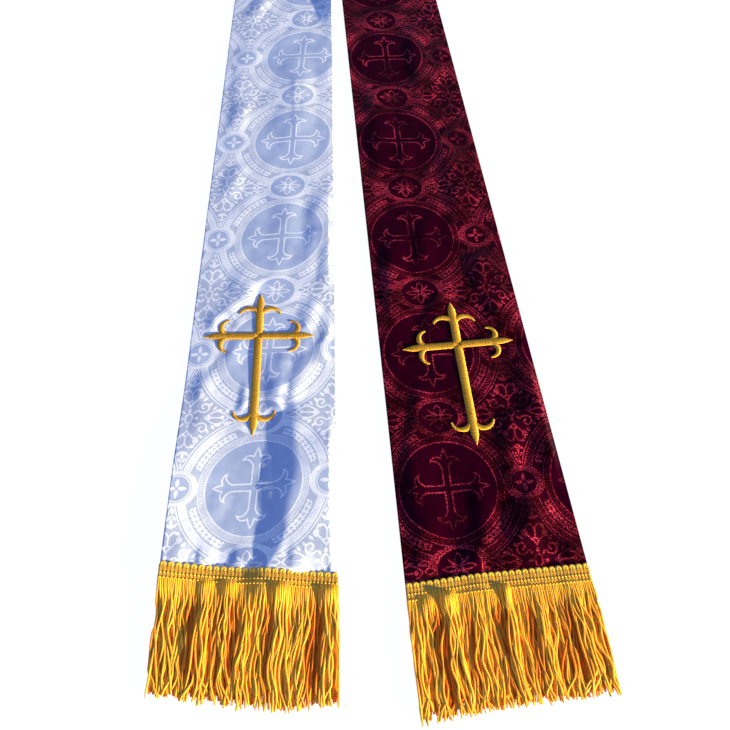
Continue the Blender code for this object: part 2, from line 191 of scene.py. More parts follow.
def laid(*rows):
    """Creases from rows that are written in millimetres."""
    return [Crease(*(value / 1000 for value in row)) for row in rows]


BIG_CREASES = {
    "white": laid(
        (-48, 100, -66, 192, 2, 1.6, 12, 24),
        (-34, 235, -36, 385, 2, 1.8, 22, 20),
        (-68, 255, -70, 375, 0, 1.4, 22, 16),
        (-128, 185, -98, 285, 3, 1.2, 14, 20),
        (-140, 85, -112, 165, 2, 0.8, 14, 20),
        (-62, 380, -68, 565, 1, 1.8, 36, 18),
        (-124, 400, -118, 600, -3, 0.8, 16, 22),
        (-112, 640, -94, 860, 4, 2.4, 18, 22),
        (-112, 880, -100, 1050, 3, 2, 16, 18),
    ),
    "burgundy": laid(
        (108, -10, 122, 85, 3, 4.6, 18, 22),
        (86, -15, 83, 80, 2, 3.2, 14, 18),
        (136, 60, 128, 190, 4, 4.4, 22, 14),
        (44, -10, 36, 125, -3, 3, 16, 22),
        (118, 180, 92, 300, 3, 3.6, 16, 20),
        (24, 190, 26, 320, -3, 2.8, 14, 20),
        (86, 300, 70, 440, 4, 3.2, 18, 20),
        (14, 360, 6, 520, 2, 2.4, 16, 20),
        (62, 450, 50, 610, -3, 3, 16, 20),
        (-4, 620, -34, 830, 4, 2.6, 18, 20),
        (40, 700, 0, 900, 4, 2.8, 18, 20),
        (-40, 900, -62, 1110, -4, 2.4, 18, 20),
    ),
}
print("long creases:", {name: len(table) for name, table in BIG_CREASES.items()})

# %% [markdown]
# The deepest crease runs from the hem up to the foot of the white cross and bends on its way,
# so its crest is a row of places. Two more lift the lower leg off the table, both plies
# together: one at its right edge far up, the other at its left hem corner.

# %% List the bent ridge and the lifted edges
RIDGE = np.array([  # x, y, height and the widths of the two flanks, in millimetres
    (-72, -12, 2.6, 16, 30),
    (-64, 6, 4.2, 18, 50),
    (-57.7, 20.4, 5.2, 18, 130),
    (-54, 33.1, 5.6, 19, 180),
    (-52.5, 45.3, 6.5, 25, 200),
    (-50.1, 60.1, 7.1, 28, 200),
    (-48, 77, 7.3, 29, 200),
    (-48, 90, 7, 28, 160),
    (-52, 107, 5.6, 22, 60),
    (-58.5, 123, 2.8, 16, 40),
    (-64, 136, 0, 12, 30),
]) / 1000
LIFTED_EDGES = laid(
    (-15, 568, -46, 700, 0, 9, 28, 16),
    (-170, -110, -168, 160, 0, 7.4, 20, 68),
)
print(f"the ridge is up to {RIDGE[:, 2].max() * 1000:.1f} mm high")

# %% [markdown]
# The small ones pucker the cloth round the stitched cross and along the heading, where a
# seam draws it in, and run out from the long creases.

# %% List the small creases
SMALL_CREASES = {
    "white": laid(
        (-70, 45, -73.2, 104, 0, 1.3, 5, 6),
        (-64, 385, -72.2, 547, 0, 0.3, 5, 5),
        (-44, 345, -40, 290, 4, 0.8, 12, 12),
        (-26, 325, -30, 225, 3, 1.2, 14, 12),
        (-42, 320, -56, 255, 0, 1.2, 14, 14),
        (-37, 245, -52, 180, 2, 1.5, 9, 14),
        (-27, 215, -36, 165, 2, 1.4, 9, 10),
        (-63.5, 188, -66.5, 135, 2, 1.7, 8, 20),
        (-65.5, 160, -70, 118, 1, 1.8, 8, 12),
        (-38, 185, -60, 130, 2, 1.1, 10, 14),
        (-85, 262, -108, 205, 1, 1.5, 8, 14),
        (-118, 226, -123, 188, 0, 1.5, 12, 18),
        (-89, 160, -95, 112, 0, 1.8, 8, 10),
        (-93, 215, -112, 160, 3, 1.2, 14, 14),
        (-120, 170, -132, 128, 2, 1.5, 12, 14),
        (-102, 66, -111, 34, 1, 1, 10, 12),
        (-113, 395, -124, 340, 2, 1.2, 10, 14),
        (-101, 640, -121, 590, 2, 2, 10, 16),
        (-116, 480, -121, 420, 2, 1.2, 10, 16),
        (-150, 12, -123, 10, 0, 1.6, 20, 7),
        (-121, 9, -104, 8, 0, 1.5, 20, 7),
        (-97, 8, -76, 7, 0, 1.6, 16, 7),
        (-56, 6, -36, 5, 0, 1.6, 20, 8),
        (-28, 4, -12, 3.5, 0, 1.5, 16, 7),
    ),
    "burgundy": laid(
        (120, 140, 108, 75, 2, 3, 14, 16),
        (145, 110, 140, 60, 1, 2.4, 12, 12),
        (112, 92, 106, 50, 1, 2, 10, 16),
        (108, 40, 100, -5, 1, 2.6, 12, 16),
        (84, 34, 76, -8, 1, 2.2, 11, 14),
        (125, 52, 115, 10, 3, 2, 12, 14),
        (60, 60, 48, 10, 3, 1.8, 12, 16),
        (70, 250, 52, 190, 2, 2, 12, 14),
        (46, 160, 40, 100, 2, 1.8, 12, 12),
        (140, 240, 134, 160, 2, 1.8, 12, 14),
        (56, 330, 50, 260, 2, 2, 14, 12),
        (96, 290, 98, 230, 2, 1.8, 12, 12),
        (42, 430, 34, 360, 2, 1.8, 12, 14),
        (76, 560, 70, 470, 2, 1.8, 12, 14),
        (26, 4, 56, 5, 1, 1.6, 22, 7),
        (62, 6, 86, 9, 0, 1.5, 18, 7),
        (106, 10, 132, 13, 1, 1.6, 20, 7),
        (138, 13, 160, 15, 0, 1.4, 16, 7),
    ),
}
print("small creases:", {name: len(table) for name, table in SMALL_CREASES.items()})

# %% [markdown]
# How high a crease stands at a place depends on how far along its crest the place is, and how
# far aside. Its ends and its flanks come down in smooth curves, so no crease shows a rim.

# %% Raise a crease
CREASE_ENDS = 0.35  # share of its length over which a crease dies out at each end


def soft_end(share):
    """1 at the crest and 0 at the foot of a flank that dies away."""
    return np.clip(1 - share**2, 0, 1) ** 2


def crease_height(crease, x, y):
    """How high the crease stands at a place on the table."""
    along = np.array([crease.x1 - crease.x0, crease.y1 - crease.y0])
    length = np.hypot(*along)
    px, py = x - crease.x0, y - crease.y0
    share = (px * along[0] + py * along[1]) / length**2
    aside = (along[1] * px - along[0] * py) / length
    offset = aside - crease.bow * 4 * share * (1 - share)
    ends = smooth(share, 0, CREASE_ENDS) * smooth(1 - share, 0, CREASE_ENDS)
    flank = np.where(offset < 0, smooth(1 + offset / crease.left, 0, 1), soft_end(offset / crease.right))
    return crease.height * ends * flank


def ridge_height(x, y):
    """The bent ridge, whose values run smoothly from each row of the table to the next."""
    rows, slopes = RIDGE[:, 1], np.gradient(RIDGE, RIDGE[:, 1], axis=0)
    i = np.clip(np.searchsorted(rows, y) - 1, 0, len(rows) - 2)
    step = rows[i + 1] - rows[i]
    t = np.clip((y - rows[i]) / step, 0, 1)
    crest, _, height, left, right = (
        (1 + 2 * t) * (1 - t) ** 2 * RIDGE[i, k]
        + t * (1 - t) ** 2 * step * slopes[i, k]
        + t * t * (3 - 2 * t) * RIDGE[i + 1, k]
        + t * t * (t - 1) * step * slopes[i + 1, k]
        for k in range(5)
    )
    offset = x - crest
    inside = smooth(y, rows[0] - 0.02, rows[0])
    flank = np.where(offset < 0, smooth(1 + offset / left, 0, 1), soft_end(offset / right))
    return np.maximum(height, 0) * inside * flank


middle_of_ridge = RIDGE[len(RIDGE) // 2, :2]
print(f"height on the ridge's crest: {ridge_height(*middle_of_ridge) * 1000:.1f} mm")

# %% [markdown]
# ## The brocade's repeat
# Both brocades have one traditional church pattern: roundels with a cross in each, linked by
# small rosettes, with hearts and pointed leaves in the gaps. On the loom the ground is a
# smooth satin and the figure is tied down more often, so that the two catch the light
# differently. An image would blur and a noise can't draw a heart, so the figure is cut out of
# the mesh itself.
#
# The repeat is symmetrical both ways, so only a quarter of it is drawn. Shapes are painted one
# over another, as cut paper would be, and one triangulation then gives each triangle the
# weave of the last shape painted over it.

# %% Paint a shape
HALF_REPEAT = 56.25  # a quarter of the repeat is this square, in millimetres
SATIN, FIGURE, TWILL, GROUND = range(4)  # weaves: smooth, bright, mottled, quieter ground
painted = []  # outlines with their weaves, in the order of painting


def turning(points):
    """Twice the area inside the points, above 0 where they run anticlockwise."""
    return sum(a.cross(b) for a, b in zip(points, points[1:] + points[:1]))


def paint(outline, weave):
    """Lays a shape over what is painted already."""
    points = [Vector(p) for p in outline]
    painted.append((points if turning(points) > 0 else points[::-1], weave))


def ray(degrees):
    """One millimetre in this direction, from 0 along X."""
    return Vector((math.cos(math.radians(degrees)), math.sin(math.radians(degrees))))


def oval(centre, rx, ry=None, sides=24):
    ry = ry or rx
    turns = [2 * math.pi * i / sides for i in range(sides)]
    return [(centre[0] + rx * math.cos(t), centre[1] + ry * math.sin(t)) for t in turns]


def rings(centre, sides, *steps):
    """Round shapes painted one over another, each a radius and its weave."""
    for radius, weave in steps:
        paint(oval(centre, radius, sides=sides), weave)


def inset(outline, width):
    """The outline drawn again, this far inside."""
    points = [Vector(p) for p in outline]
    width = math.copysign(width, turning(points))
    drawn = []
    for before, here, after in zip(points[-1:] + points, points, points[1:] + points[:1]):
        a, b = (here - before).normalized(), (after - here).normalized()
        normals = Vector((-a.y - b.y, a.x + b.x))
        drawn.append(here + normals * width / max(0.5, 1 + a.dot(b)))
    return drawn


def outlined(outline, width, inside=GROUND):
    """A shape of one weave with a border of bright figure."""
    paint(outline, FIGURE)
    paint(inset(outline, width), inside)


print(f"the repeat is {2 * HALF_REPEAT} mm wide")

# %% [markdown]
# The repeat needs only a few kinds of mark: a line of even width, a pointed leaf and rows of
# short rays. A leaf is drawn from the origin, and then turned and moved to its place.

# %% Draw lines, leaves and rays
def line(points, width, weave=FIGURE):
    """A line of even width through the points."""
    points = [Vector(p) for p in points]
    left, right = [], []
    for i, point in enumerate(points):
        ahead = (points[min(i + 1, len(points) - 1)] - points[max(i - 1, 0)]).normalized()
        aside = Vector((-ahead.y, ahead.x)) * width / 2
        left.append(point + aside)
        right.append(point - aside)
    paint(left + right[::-1], weave)


def turned(shape, centre, degrees):
    """A shape drawn about the origin, turned and moved to its place."""
    c, s = math.cos(math.radians(degrees)), math.sin(math.radians(degrees))
    return [(centre[0] + x * c - y * s, centre[1] + x * s + y * c) for x, y in shape]


def leaf(length, breadth, steps=4):
    """A pointed leaf along X, from the origin."""
    upper = [(length * i / steps, breadth / 2 * math.sin(math.pi * i / steps)) for i in range(1, steps)]
    return [(0, 0), *((x, -y) for x, y in upper), (length, 0), *upper[::-1]]


def ticks(centre, near, far, first, last, pitch, width, weave):
    """Short rays round a centre, from angle first to angle last in degrees."""
    count = max(1, round((last - first) / pitch))
    for i in range(count):
        out = ray(first + (last - first) * (i + 0.5) / count)
        line([Vector(centre) + out * near, Vector(centre) + out * far], width, weave)


print("corners of a leaf:", len(leaf(10, 4)))

# %% [markdown]
# From the middle out, a roundel has a plain satin disc with a cross drawn in double outline,
# a ring of fine rays, a band of scrolling vine and a broad outer band. The bands are painted
# from the outside in, each as a full disc that the next one covers.

# %% Draw the bands and the vine
DISC = 35.6  # all these are radii in millimetres
RAY_RING = (36.6, 40.0)
VINE_BAND = (41.5, 49.4)
OUTER_BAND = (50.3, 54.2)
ROUNDEL = 55.2
SIDE_LINK = (HALF_REPEAT, 0.0)
TOP_LINK = (0.0, HALF_REPEAT)
CENTRE = (0.0, 0.0)


def roundel_bands():
    """The thin rim, the broad band with its borders, and the vine's ground."""
    rings(
        CENTRE, 96, (ROUNDEL + 2.0, FIGURE), (ROUNDEL + 1.1, GROUND), (ROUNDEL, FIGURE),
        (OUTER_BAND[1], TWILL), (OUTER_BAND[0], FIGURE), (VINE_BAND[1], GROUND),
    )


def vine():
    """A wavy stem with a pair of leaves at each of its bends."""
    radius, sway = 45.4, 1.9
    first, last, bends = 19.0, 66.0, 9
    stem = []
    for i in range(bends * 4 + 1):
        out = radius + sway * math.sin(math.pi * i / 4)
        stem += turned([(out, 0)], CENTRE, first + (last - first) * i / (bends * 4))
    line(stem, 1.3)
    for i in range(bends):
        outward = 1 if i % 2 == 0 else -1
        angle = first + (last - first) * (i + 0.5) / bends
        root = ray(angle) * (radius - outward * 0.4)
        for spread in (48, -48):
            shape = leaf(3.6, 2.3, steps=3)
            paint(turned(shape, root, angle + (0 if outward > 0 else 180) + 180 + spread), FIGURE)


roundel_bands()
vine()
print("shapes in the bands:", len(painted))

# %% [markdown]
# Neighbours touch the roundel at four links: a small round one on each side and a wide oval
# one above and below, each with a rosette. They cover the bands, so they come after them. The
# disc comes last, with a ring of rays round it and the cross on it.

# %% Draw the links, the disc and its cross
def links():
    """A side link and an upper one, each about a corner of the quarter."""
    paint(oval(SIDE_LINK, 15.4, 13.2, sides=40), FIGURE)
    ticks(SIDE_LINK, 11.4, 15.0, 92, 178, 8.6, 0.8, TWILL)
    paint(oval(TOP_LINK, 22.5, 15.6, sides=48), FIGURE)
    for i in range(16):
        angle = math.radians(-88 + 84 * i / 15)
        c, s = math.cos(angle), math.sin(angle)
        line([(16.6 * c, HALF_REPEAT + 13.5 * s), (22.0 * c, HALF_REPEAT + 15.4 * s)], 0.8, TWILL)
    rings(SIDE_LINK, 32, (10.8, SATIN), (10.1, FIGURE), (9.3, SATIN))
    for quarter in range(4):
        paint(turned(leaf(7.6, 3.2), SIDE_LINK, 90 * quarter), FIGURE)
    paint(oval(SIDE_LINK, 1.1, sides=8), SATIN)
    paint(oval(TOP_LINK, 15.6, 12.8, sides=40), SATIN)
    for side, length, breadth in ((0, 12.4, 4.6), (180, 12.4, 4.6), (90, 11.0, 6.4), (270, 11.0, 6.4)):
        outlined(turned(leaf(length, breadth), TOP_LINK, side), 0.9)
    for side in (42, 138, 222, 318):
        paint(turned(leaf(10.4, 2.0), TOP_LINK, side), FIGURE)
    rings(TOP_LINK, 16, (2.3, FIGURE), (1.2, SATIN))


def disc():
    """The ring of rays and the plain disc inside it."""
    rings(CENTRE, 96, (VINE_BAND[0], FIGURE), (40.8, GROUND), (40.2, TWILL))
    ticks(CENTRE, *RAY_RING, 0, 90, 1.85, 0.5, GROUND)
    rings(CENTRE, 96, (RAY_RING[0], FIGURE), (DISC, SATIN))


def disc_cross():
    """A cross of four equal arms, each ending in a point between two hooks."""
    half_arm = [
        (3.1, 3.1), (16.4, 3.1), (18.8, 4.4), (20.6, 6.6), (21.0, 9.0), (20.2, 11.4),
        (23.0, 10.2), (24.8, 7.6), (25.0, 4.6), (24.2, 2.9), (27.0, 2.1), (31.2, 0.0),
    ]
    arm = half_arm + [(x, -y) for x, y in half_arm[-2::-1]]
    whole = []
    for quarter in range(4):
        whole += turned(arm[::-1][:-1], CENTRE, 90 * quarter)
    outlined(whole, 1.15, SATIN)


links()
disc()
disc_cross()
print("shapes in the roundel:", len(painted))

# %% [markdown]
# Between four roundels is a gap with four points. It holds a small knot in the middle, a
# heart above and below it, a pointed leaf on each side and curls between them. The quarter has
# one of each, or half of one that its mirror image completes.

# %% Draw the figures of the gap
KNOT = Vector((HALF_REPEAT, HALF_REPEAT))
LEFT, DOWN = 180, 270  # directions from the knot, in degrees


def heart(length, breadth, steps=20):
    """A heart with its point at the origin and its lobes along X."""
    points = []
    for i in range(steps):
        t = 2 * math.pi * i / steps
        x = 13 * math.cos(t) - 5 * math.cos(2 * t) - 2 * math.cos(3 * t) - math.cos(4 * t)
        points.append(((x + 17) / 29 * length, math.sin(t) ** 3 * breadth / 2))
    return points


def spray(root, degrees, leaves):
    """Leaves from one root, each an angle from the spray's own, a length and a breadth."""
    for angle, length, breadth in leaves:
        paint(turned(leaf(length, breadth, steps=3), root, degrees + angle), FIGURE)


def heart_and_sprout():
    """A heart below the knot, its tip up, and two sprouts under it."""
    below = [KNOT - Vector((0, down)) for down in (8.6, 14.0, 22.0, 27.0, 36.5)]
    tip, fork, dip, sprout, bud = below
    outlined(turned(heart(16.6, 16.8), tip, DOWN), 1.25)
    line([dip, fork], 1.15)
    spray(fork + Vector((0, -1.2)), DOWN, ((128, 4.4, 2.0), (-128, 4.4, 2.0)))
    spray(sprout, DOWN, ((0, 7.6, 2.8), (50, 6.4, 2.4), (-50, 6.4, 2.4)))
    spray(bud, DOWN, ((0, 5.6, 2.2), (140, 5.2, 2.0), (-140, 5.2, 2.0)))


def eye_leaf():
    """A pointed leaf beside the knot, with a line and two dots inside."""
    outlined(turned(leaf(20.0, 12.0, steps=6), KNOT - Vector((11.4, 0)), LEFT), 1.25)
    line([KNOT - Vector((15.4, 0)), KNOT - Vector((26.0, 0))], 1.2)
    for out in (15.6, 25.8):
        paint(oval(KNOT - Vector((out, 0)), 1.5, 1.9, sides=10), FIGURE)
    outlined(turned(leaf(9.5, 5.2), KNOT - Vector((30.6, 0)), LEFT), 1.1)
    spray(KNOT - Vector((26.5, 4.6)), LEFT, ((-8, 8.0, 2.0), (24, 6.0, 2.0)))


def curls():
    """A spiral between heart and leaf, and the small leaves about it."""
    centre = KNOT - Vector((11.0, 8.8))
    turns = np.linspace(0.4, 7.8, 18)
    spiral = [centre + Vector((math.cos(t), math.sin(t))) * (5.2 - 0.52 * t) for t in turns]
    line(spiral, 1.3)
    for angle in (33, 37.5, 42, 48, 52.5, 57):
        spray(ray(angle) * 58.4, angle, ((0, 5.0 if 36 < angle < 54 else 3.6, 2.4),))
    spray(KNOT - Vector((7.0, 15.6)), 262, ((16, 5.6, 2.4), (-30, 5.0, 2.2)))
    spray(KNOT - Vector((19.6, 6.4)), 190, ((-12, 5.6, 2.4),))


def knot():
    """The oval in the middle, with a bead on each side."""
    outlined(oval(KNOT, 3.3, 4.6, sides=16), 1.2)
    for angle, out in ((LEFT, 5.8), (DOWN, 6.6)):
        paint(turned(oval((out, 0), 1.9, 1.3, sides=8), KNOT, angle), FIGURE)
    spray(KNOT - Vector((3.0, 3.6)), 228, ((0, 4.6, 2.0),))


heart_and_sprout()
eye_leaf()
curls()
knot()
print("shapes in all:", len(painted))

# %% [markdown]
# One constrained triangulation turns the painted shapes into triangles that share all their
# corners. Loose points spread over the plain parts keep every triangle small enough to follow
# the creases. Each triangle remembers which shapes cover it, and the last one painted wins.

# %% Triangulate the quarter of the repeat
GRID_STEP = 4.3  # of the loose points, in millimetres


def triangulate_quarter():
    """Points, triangles and the weave of each triangle, in a quarter of the repeat."""
    corners = [(0, 0), (HALF_REPEAT, 0), (HALF_REPEAT, HALF_REPEAT), (0, HALF_REPEAT)]
    outlines = [([Vector(p) for p in corners], GROUND)] + painted
    points, faces = [], []
    for outline, _ in outlines:
        faces.append(list(range(len(points), len(points) + len(outline))))
        points += outline
    steps = round(HALF_REPEAT / GRID_STEP)
    for i in range(steps + 1):
        for j in range(steps + 1):
            shift = 0.25 if i % 2 else -0.25  # so that the grid isn't square
            x = HALF_REPEAT * i / steps
            y = HALF_REPEAT * min(steps, max(0, j + shift)) / steps
            points.append(Vector((x, y)))
    cut = delaunay_2d_cdt(points, [], faces, 0, 1e-4, True)
    corners_2d = np.array([tuple(p) for p in cut[0]])
    triangles, weaves = [], []
    for triangle, covers in zip(cut[2], cut[5]):
        centre = corners_2d[triangle].mean(0)
        if covers and 0 < centre[0] < HALF_REPEAT and 0 < centre[1] < HALF_REPEAT:
            triangles.append(triangle)
            weaves.append(outlines[max(covers)][1])
    return corners_2d, np.array(triangles), np.array(weaves)


quarter_points, quarter_triangles, quarter_weaves = triangulate_quarter()
print("triangles in a quarter of the repeat:", len(quarter_triangles))
for weave, word in enumerate(("satin", "figure", "twill", "ground")):
    print(f"  {word}: {(quarter_weaves == weave).mean():.0%} of them")

# %% [markdown]
# ## Where the cloth lies
# Each leg is two plies sewn together along their edges and turned right side out. The
# underside of a leg lies on the table, or on the other leg. The upper ply lies on the lower
# one, carries the creases, and rolls down at the edges to meet it in the seam. At the neck
# both go half way round a soft roll, where a seam joins the two legs.

# %% Stack the legs
STACK = 2 * PLY + GAP  # thickness of a leg
ROLL_CENTRE = STACK + ROLL_RADIUS  # its height over the table
ROLL_MIDDLE = ROLL_RADIUS + STACK / 2
ROWS_END = BAND_LENGTH + ROLL_MIDDLE * math.pi / 2  # the seam at the back of the neck


def lift(leg, x, y):
    """Height of a leg's underside."""
    if not leg.over:
        return sum(crease_height(edge, x, y) for edge in LIFTED_EDGES)
    edge = middle(WHITE, y) + width(WHITE, y) / 2 + EDGE_CLEARANCE
    resting = (STACK + GAP) * (1 - smooth(x, edge, edge + EDGE_DROP))
    return resting + (2 * ROLL_RADIUS - GAP) * smooth(y, BAND_LENGTH - ROLL_EASE, BAND_LENGTH)


print(f"a leg is {STACK * 1000:.1f} mm thick and {ROWS_END * 1000:.0f} mm long up to the seam")

# %% [markdown]
# The creases keep away from the embroidered cross, whose stiff backing holds the cloth flat.
# So each place on the cloth has to know how far it is from the nearest stroke: the upright,
# the beam, or one of the hooks near their ends.

# %% Measure from the cross
CROSS_UP, CROSS_SIDE, CROSS_DOWN = 0.0423, 0.0452, 0.0908  # arms from the crossing
POINT_LENGTH, FOOT_POINT_LENGTH = 16.5 * MM, 14.5 * MM  # from the hooks to an arm's end
UPRIGHT_HOOK_REACH, BEAM_HOOK_REACH = 14.5 * MM, 12.5 * MM


def cross_axis(leg):
    """The direction of the cross's upright on the table."""
    length = math.hypot(leg.lean, 1)
    return np.array([leg.lean / length, 1 / length])


def cross_middle(leg):
    """Where the cross's strokes meet, on the table."""
    return np.array([middle(leg, leg.cross_row) + leg.cross_offset, leg.cross_row])


def cross_distance(leg, x, y):
    """Distance from the nearest stroke of the embroidered cross."""
    up_axis, place = cross_axis(leg), cross_middle(leg)
    px, py = x - place[0], y - place[1]
    up = px * up_axis[0] + py * up_axis[1]
    side = np.abs(px * up_axis[1] - py * up_axis[0])
    distances = [
        np.hypot(side, np.maximum(0, np.maximum(up - CROSS_UP, -CROSS_DOWN - up))),
        np.hypot(np.maximum(0, side - CROSS_SIDE), up),
        np.hypot(side - CROSS_SIDE + POINT_LENGTH, np.maximum(0, np.abs(up) - BEAM_HOOK_REACH)),
    ]
    for hooks in (CROSS_UP - POINT_LENGTH, FOOT_POINT_LENGTH - CROSS_DOWN):
        distances.append(np.hypot(np.maximum(0, side - UPRIGHT_HOOK_REACH), up - hooks))
    return np.minimum.reduce(distances)


for leg in LEGS:
    print(f"{leg.name} cross: {cross_distance(leg, *plan(leg, 0.0, 0.0)) * 1000:.0f} mm above the heading")

# %% [markdown]
# The long creases die out a little before the cross, and lie flatter where the heading is
# sewn on. The small ones come closer to both. Along the seams the cloth is flat. A faint
# ripple all over keeps the satin from looking like a polished board.

# %% Lay the creases on a leg
FLAT_AT_SEAMS = (0.014, 0.006)  # on the left and on the right
FLAT_AT_HEADING = 0.045
FLAT_AT_CROSS = (0.004, 0.013)
DIES_AT_CROSS = (0.001, 0.010)  # the small creases come closer
HEADING_HOLDS = 0.35  # share of a crease that is left where the heading is sewn on
RIPPLES = ((31, 11, 0.10), (-17, 23, 0.09), (47, -19, 0.06), (12, 53, 0.05))  # cycles a metre, mm
RIPPLE_LIFT = 0.2 * MM  # keeps the ripple's valleys above the lower ply


def creases(leg, across, row):
    """How far the creases lift the upper ply off the lower one."""
    x, y = plan(leg, across, row)
    from_cross = cross_distance(leg, x, y)
    total = sum(crease_height(c, x, y) for c in BIG_CREASES[leg.name])
    total = total * (HEADING_HOLDS + (1 - HEADING_HOLDS) * smooth(row, -0.006, FLAT_AT_HEADING))
    if not leg.over:
        total = total + ridge_height(x, y)
    total = total * smooth(from_cross, *FLAT_AT_CROSS)
    small = sum(crease_height(c, x, y) for c in SMALL_CREASES[leg.name])
    ripple = sum(
        size * MM * np.sin(2 * math.pi * (a * x + b * y) + leg.seed) for a, b, size in RIPPLES
    )
    total = total + small * smooth(from_cross, *DIES_AT_CROSS) + ripple + RIPPLE_LIFT
    total = total * smooth(width(leg, row) * (0.5 + across), 0, FLAT_AT_SEAMS[0])
    return total * smooth(width(leg, row) * (0.5 - across), 0, FLAT_AT_SEAMS[1])


spots = np.meshgrid(np.linspace(-0.5, 0.5, 21), np.linspace(0, BAND_LENGTH, 400))
for leg in LEGS:
    print(f"{leg.name} leg: creases up to {creases(leg, *spots).max() * 1000:.1f} mm high")

# %% [markdown]
# A place on the cloth and a height over the leg's underside give a point in space. At the
# edges both plies roll towards the seam in the middle of the leg's thickness. The normals
# come from the same functions instead of from the triangles, so the satin shows no facets.

# %% Put a ply in place
EDGE_ROLL = 0.4 * MM  # width over which a ply rolls down to its seam
UNDER_FACE = 0.06 * MM  # of the lower ply over what it lies on
SEAM_DIP = 0.45  # share of the height that is left in the seam at the neck
NORMAL_STEP = 0.4 * MM
MEAN_WIDTH = 0.11  # of a leg, to turn small lengths into shares of its width


def place(leg, across, row, height):
    """The point at this height over the leg's underside, round the roll too."""
    x, y = plan(leg, across, np.minimum(row, BAND_LENGTH))
    past = np.maximum(0, row - BAND_LENGTH) / ROLL_MIDDLE
    radius = ROLL_RADIUS + (height if leg.over else STACK - height)
    side = 1 if leg.over else -1
    z = np.where(past > 0, ROLL_CENTRE + side * radius * np.cos(past), lift(leg, x, y) + height)
    return np.stack([x, y + radius * np.sin(past), z], -1) - ORIGIN


def rolled(distance):
    """A quarter circle's rise from 0 at an edge to 1."""
    return np.sqrt(1 - (1 - np.clip(distance / EDGE_ROLL, 0, 1)) ** 2)


def ply_height(leg, upper, across, row):
    """Height of a ply's face over the leg's underside."""
    to_edge = width(leg, row) * (0.5 - np.abs(across))
    to_seam = np.maximum(0, ROWS_END - row)
    face = STACK + creases(leg, across, row) if upper else UNDER_FACE
    dip = SEAM_DIP + (1 - SEAM_DIP) * rolled(to_seam)
    return STACK / 2 + (face - STACK / 2) * rolled(to_edge) * dip


def on_ply(leg, upper, across, row):
    """The point of a ply's face at a place on the cloth."""
    return place(leg, across, row, ply_height(leg, upper, across, row))


def ply_normals(leg, upper, across, row):
    """Directions straight out of the cloth."""
    share = NORMAL_STEP / MEAN_WIDTH
    a = on_ply(leg, upper, np.minimum(across + share, 0.4999), row)
    a = a - on_ply(leg, upper, np.maximum(across - share, -0.4999), row)
    b = on_ply(leg, upper, across, row + NORMAL_STEP) - on_ply(leg, upper, across, row - NORMAL_STEP)
    normals = np.cross(a, b) * (1 if upper else -1)
    return normals / np.maximum(np.linalg.norm(normals, axis=-1, keepdims=True), 1e-12)


for leg in LEGS:
    top = on_ply(leg, True, np.array([0.0]), np.array([ROWS_END]))[0]
    print(f"{leg.name} leg: its seam at the neck is {top[2] * 1000:.1f} mm over the table")

# %% [markdown]
# ## Weaving a ply
# The quarter is mirrored and laid side by side over the whole band, as it comes off the loom.
# Then the band is cut out of it along its own outline, and the flat piece is laid in place.
# The cuts are made while it is flat, where they are straight lines.

# %% Lay the repeats side by side
REPEAT_STRETCH = 1.0578  # the repeat is this much longer than it is wide


class Lay(NamedTuple):
    """How the repeat lies on a ply: the directions of its row and column, and a disc's middle."""

    row: tuple
    column: tuple
    disc: tuple


LAYS = {
    ("white", True): Lay((1.0, 0.110), (0.0482, 1.002), (-0.0001, 0.0652)),
    ("burgundy", True): Lay((0.9952, -0.0137), (0.0211, 0.9946), (-0.0240, 0.0663)),
    ("white", False): Lay((1.0, -0.02), (0.010, 1.0), (0.0180, 0.0420)),
    ("burgundy", False): Lay((1.0, 0.03), (-0.012, 1.0), (0.0070, 0.0900)),
}


def laid_repeats(lay):
    """Corners in (metres across, metres along) and triangles of many repeats, all joined."""
    row, column, disc = (np.array(v) for v in lay)
    points, triangles, weaves = [], [], []
    count = 0
    for i, j, flip_x, flip_y in product(range(-1, 2), range(-1, 12), (1, -1), (1, -1)):
        across = quarter_points[:, 0] * flip_x + 2 * HALF_REPEAT * i
        along = quarter_points[:, 1] * flip_y + 2 * HALF_REPEAT * j
        spot = disc + across[:, None] * MM * row
        points.append(spot + along[:, None] * MM * REPEAT_STRETCH * column)
        turned_over = flip_x * flip_y < 0
        triangles.append(quarter_triangles[:, ::-1 if turned_over else 1] + count)
        weaves.append(quarter_weaves)
        count += len(spot)
    points, triangles = np.concatenate(points), np.concatenate(triangles)
    _, first, index = np.unique(
        np.round(points * 2e6).astype(np.int64), axis=0, return_index=True, return_inverse=True
    )
    return points[first], index.reshape(-1)[triangles], np.concatenate(weaves)


print(f"a repeat is {2 * HALF_REPEAT:.1f} x {2 * HALF_REPEAT * REPEAT_STRETCH:.1f} mm on the cloth")

# %% [markdown]
# The band is cut in the plane of (across, row), where its edges are straight whatever the
# leg's curve. A few more cuts run inside each edge and round the roll at the neck: they don't
# part the cloth, they only give it rows of vertices to bend at.

# %% Cut the band
EDGE_CUTS = (0.08, 0.3, 1.4, 3.2, 6.0)  # inside the edge, in millimetres
ROLL_CUTS = 6
REACH_ACROSS, REACH_ALONG = 0.54, 0.67  # a little past half the band, to keep what is cut


def cut_line(cloth, at, normal, trim=False):
    """Cuts the flat cloth along a line, and with trim drops what is past it."""
    geometry = cloth.verts[:] + cloth.edges[:] + cloth.faces[:]
    bmesh.ops.bisect_plane(
        cloth, geom=geometry, dist=1e-7, plane_co=at, plane_no=normal, clear_outer=trim
    )


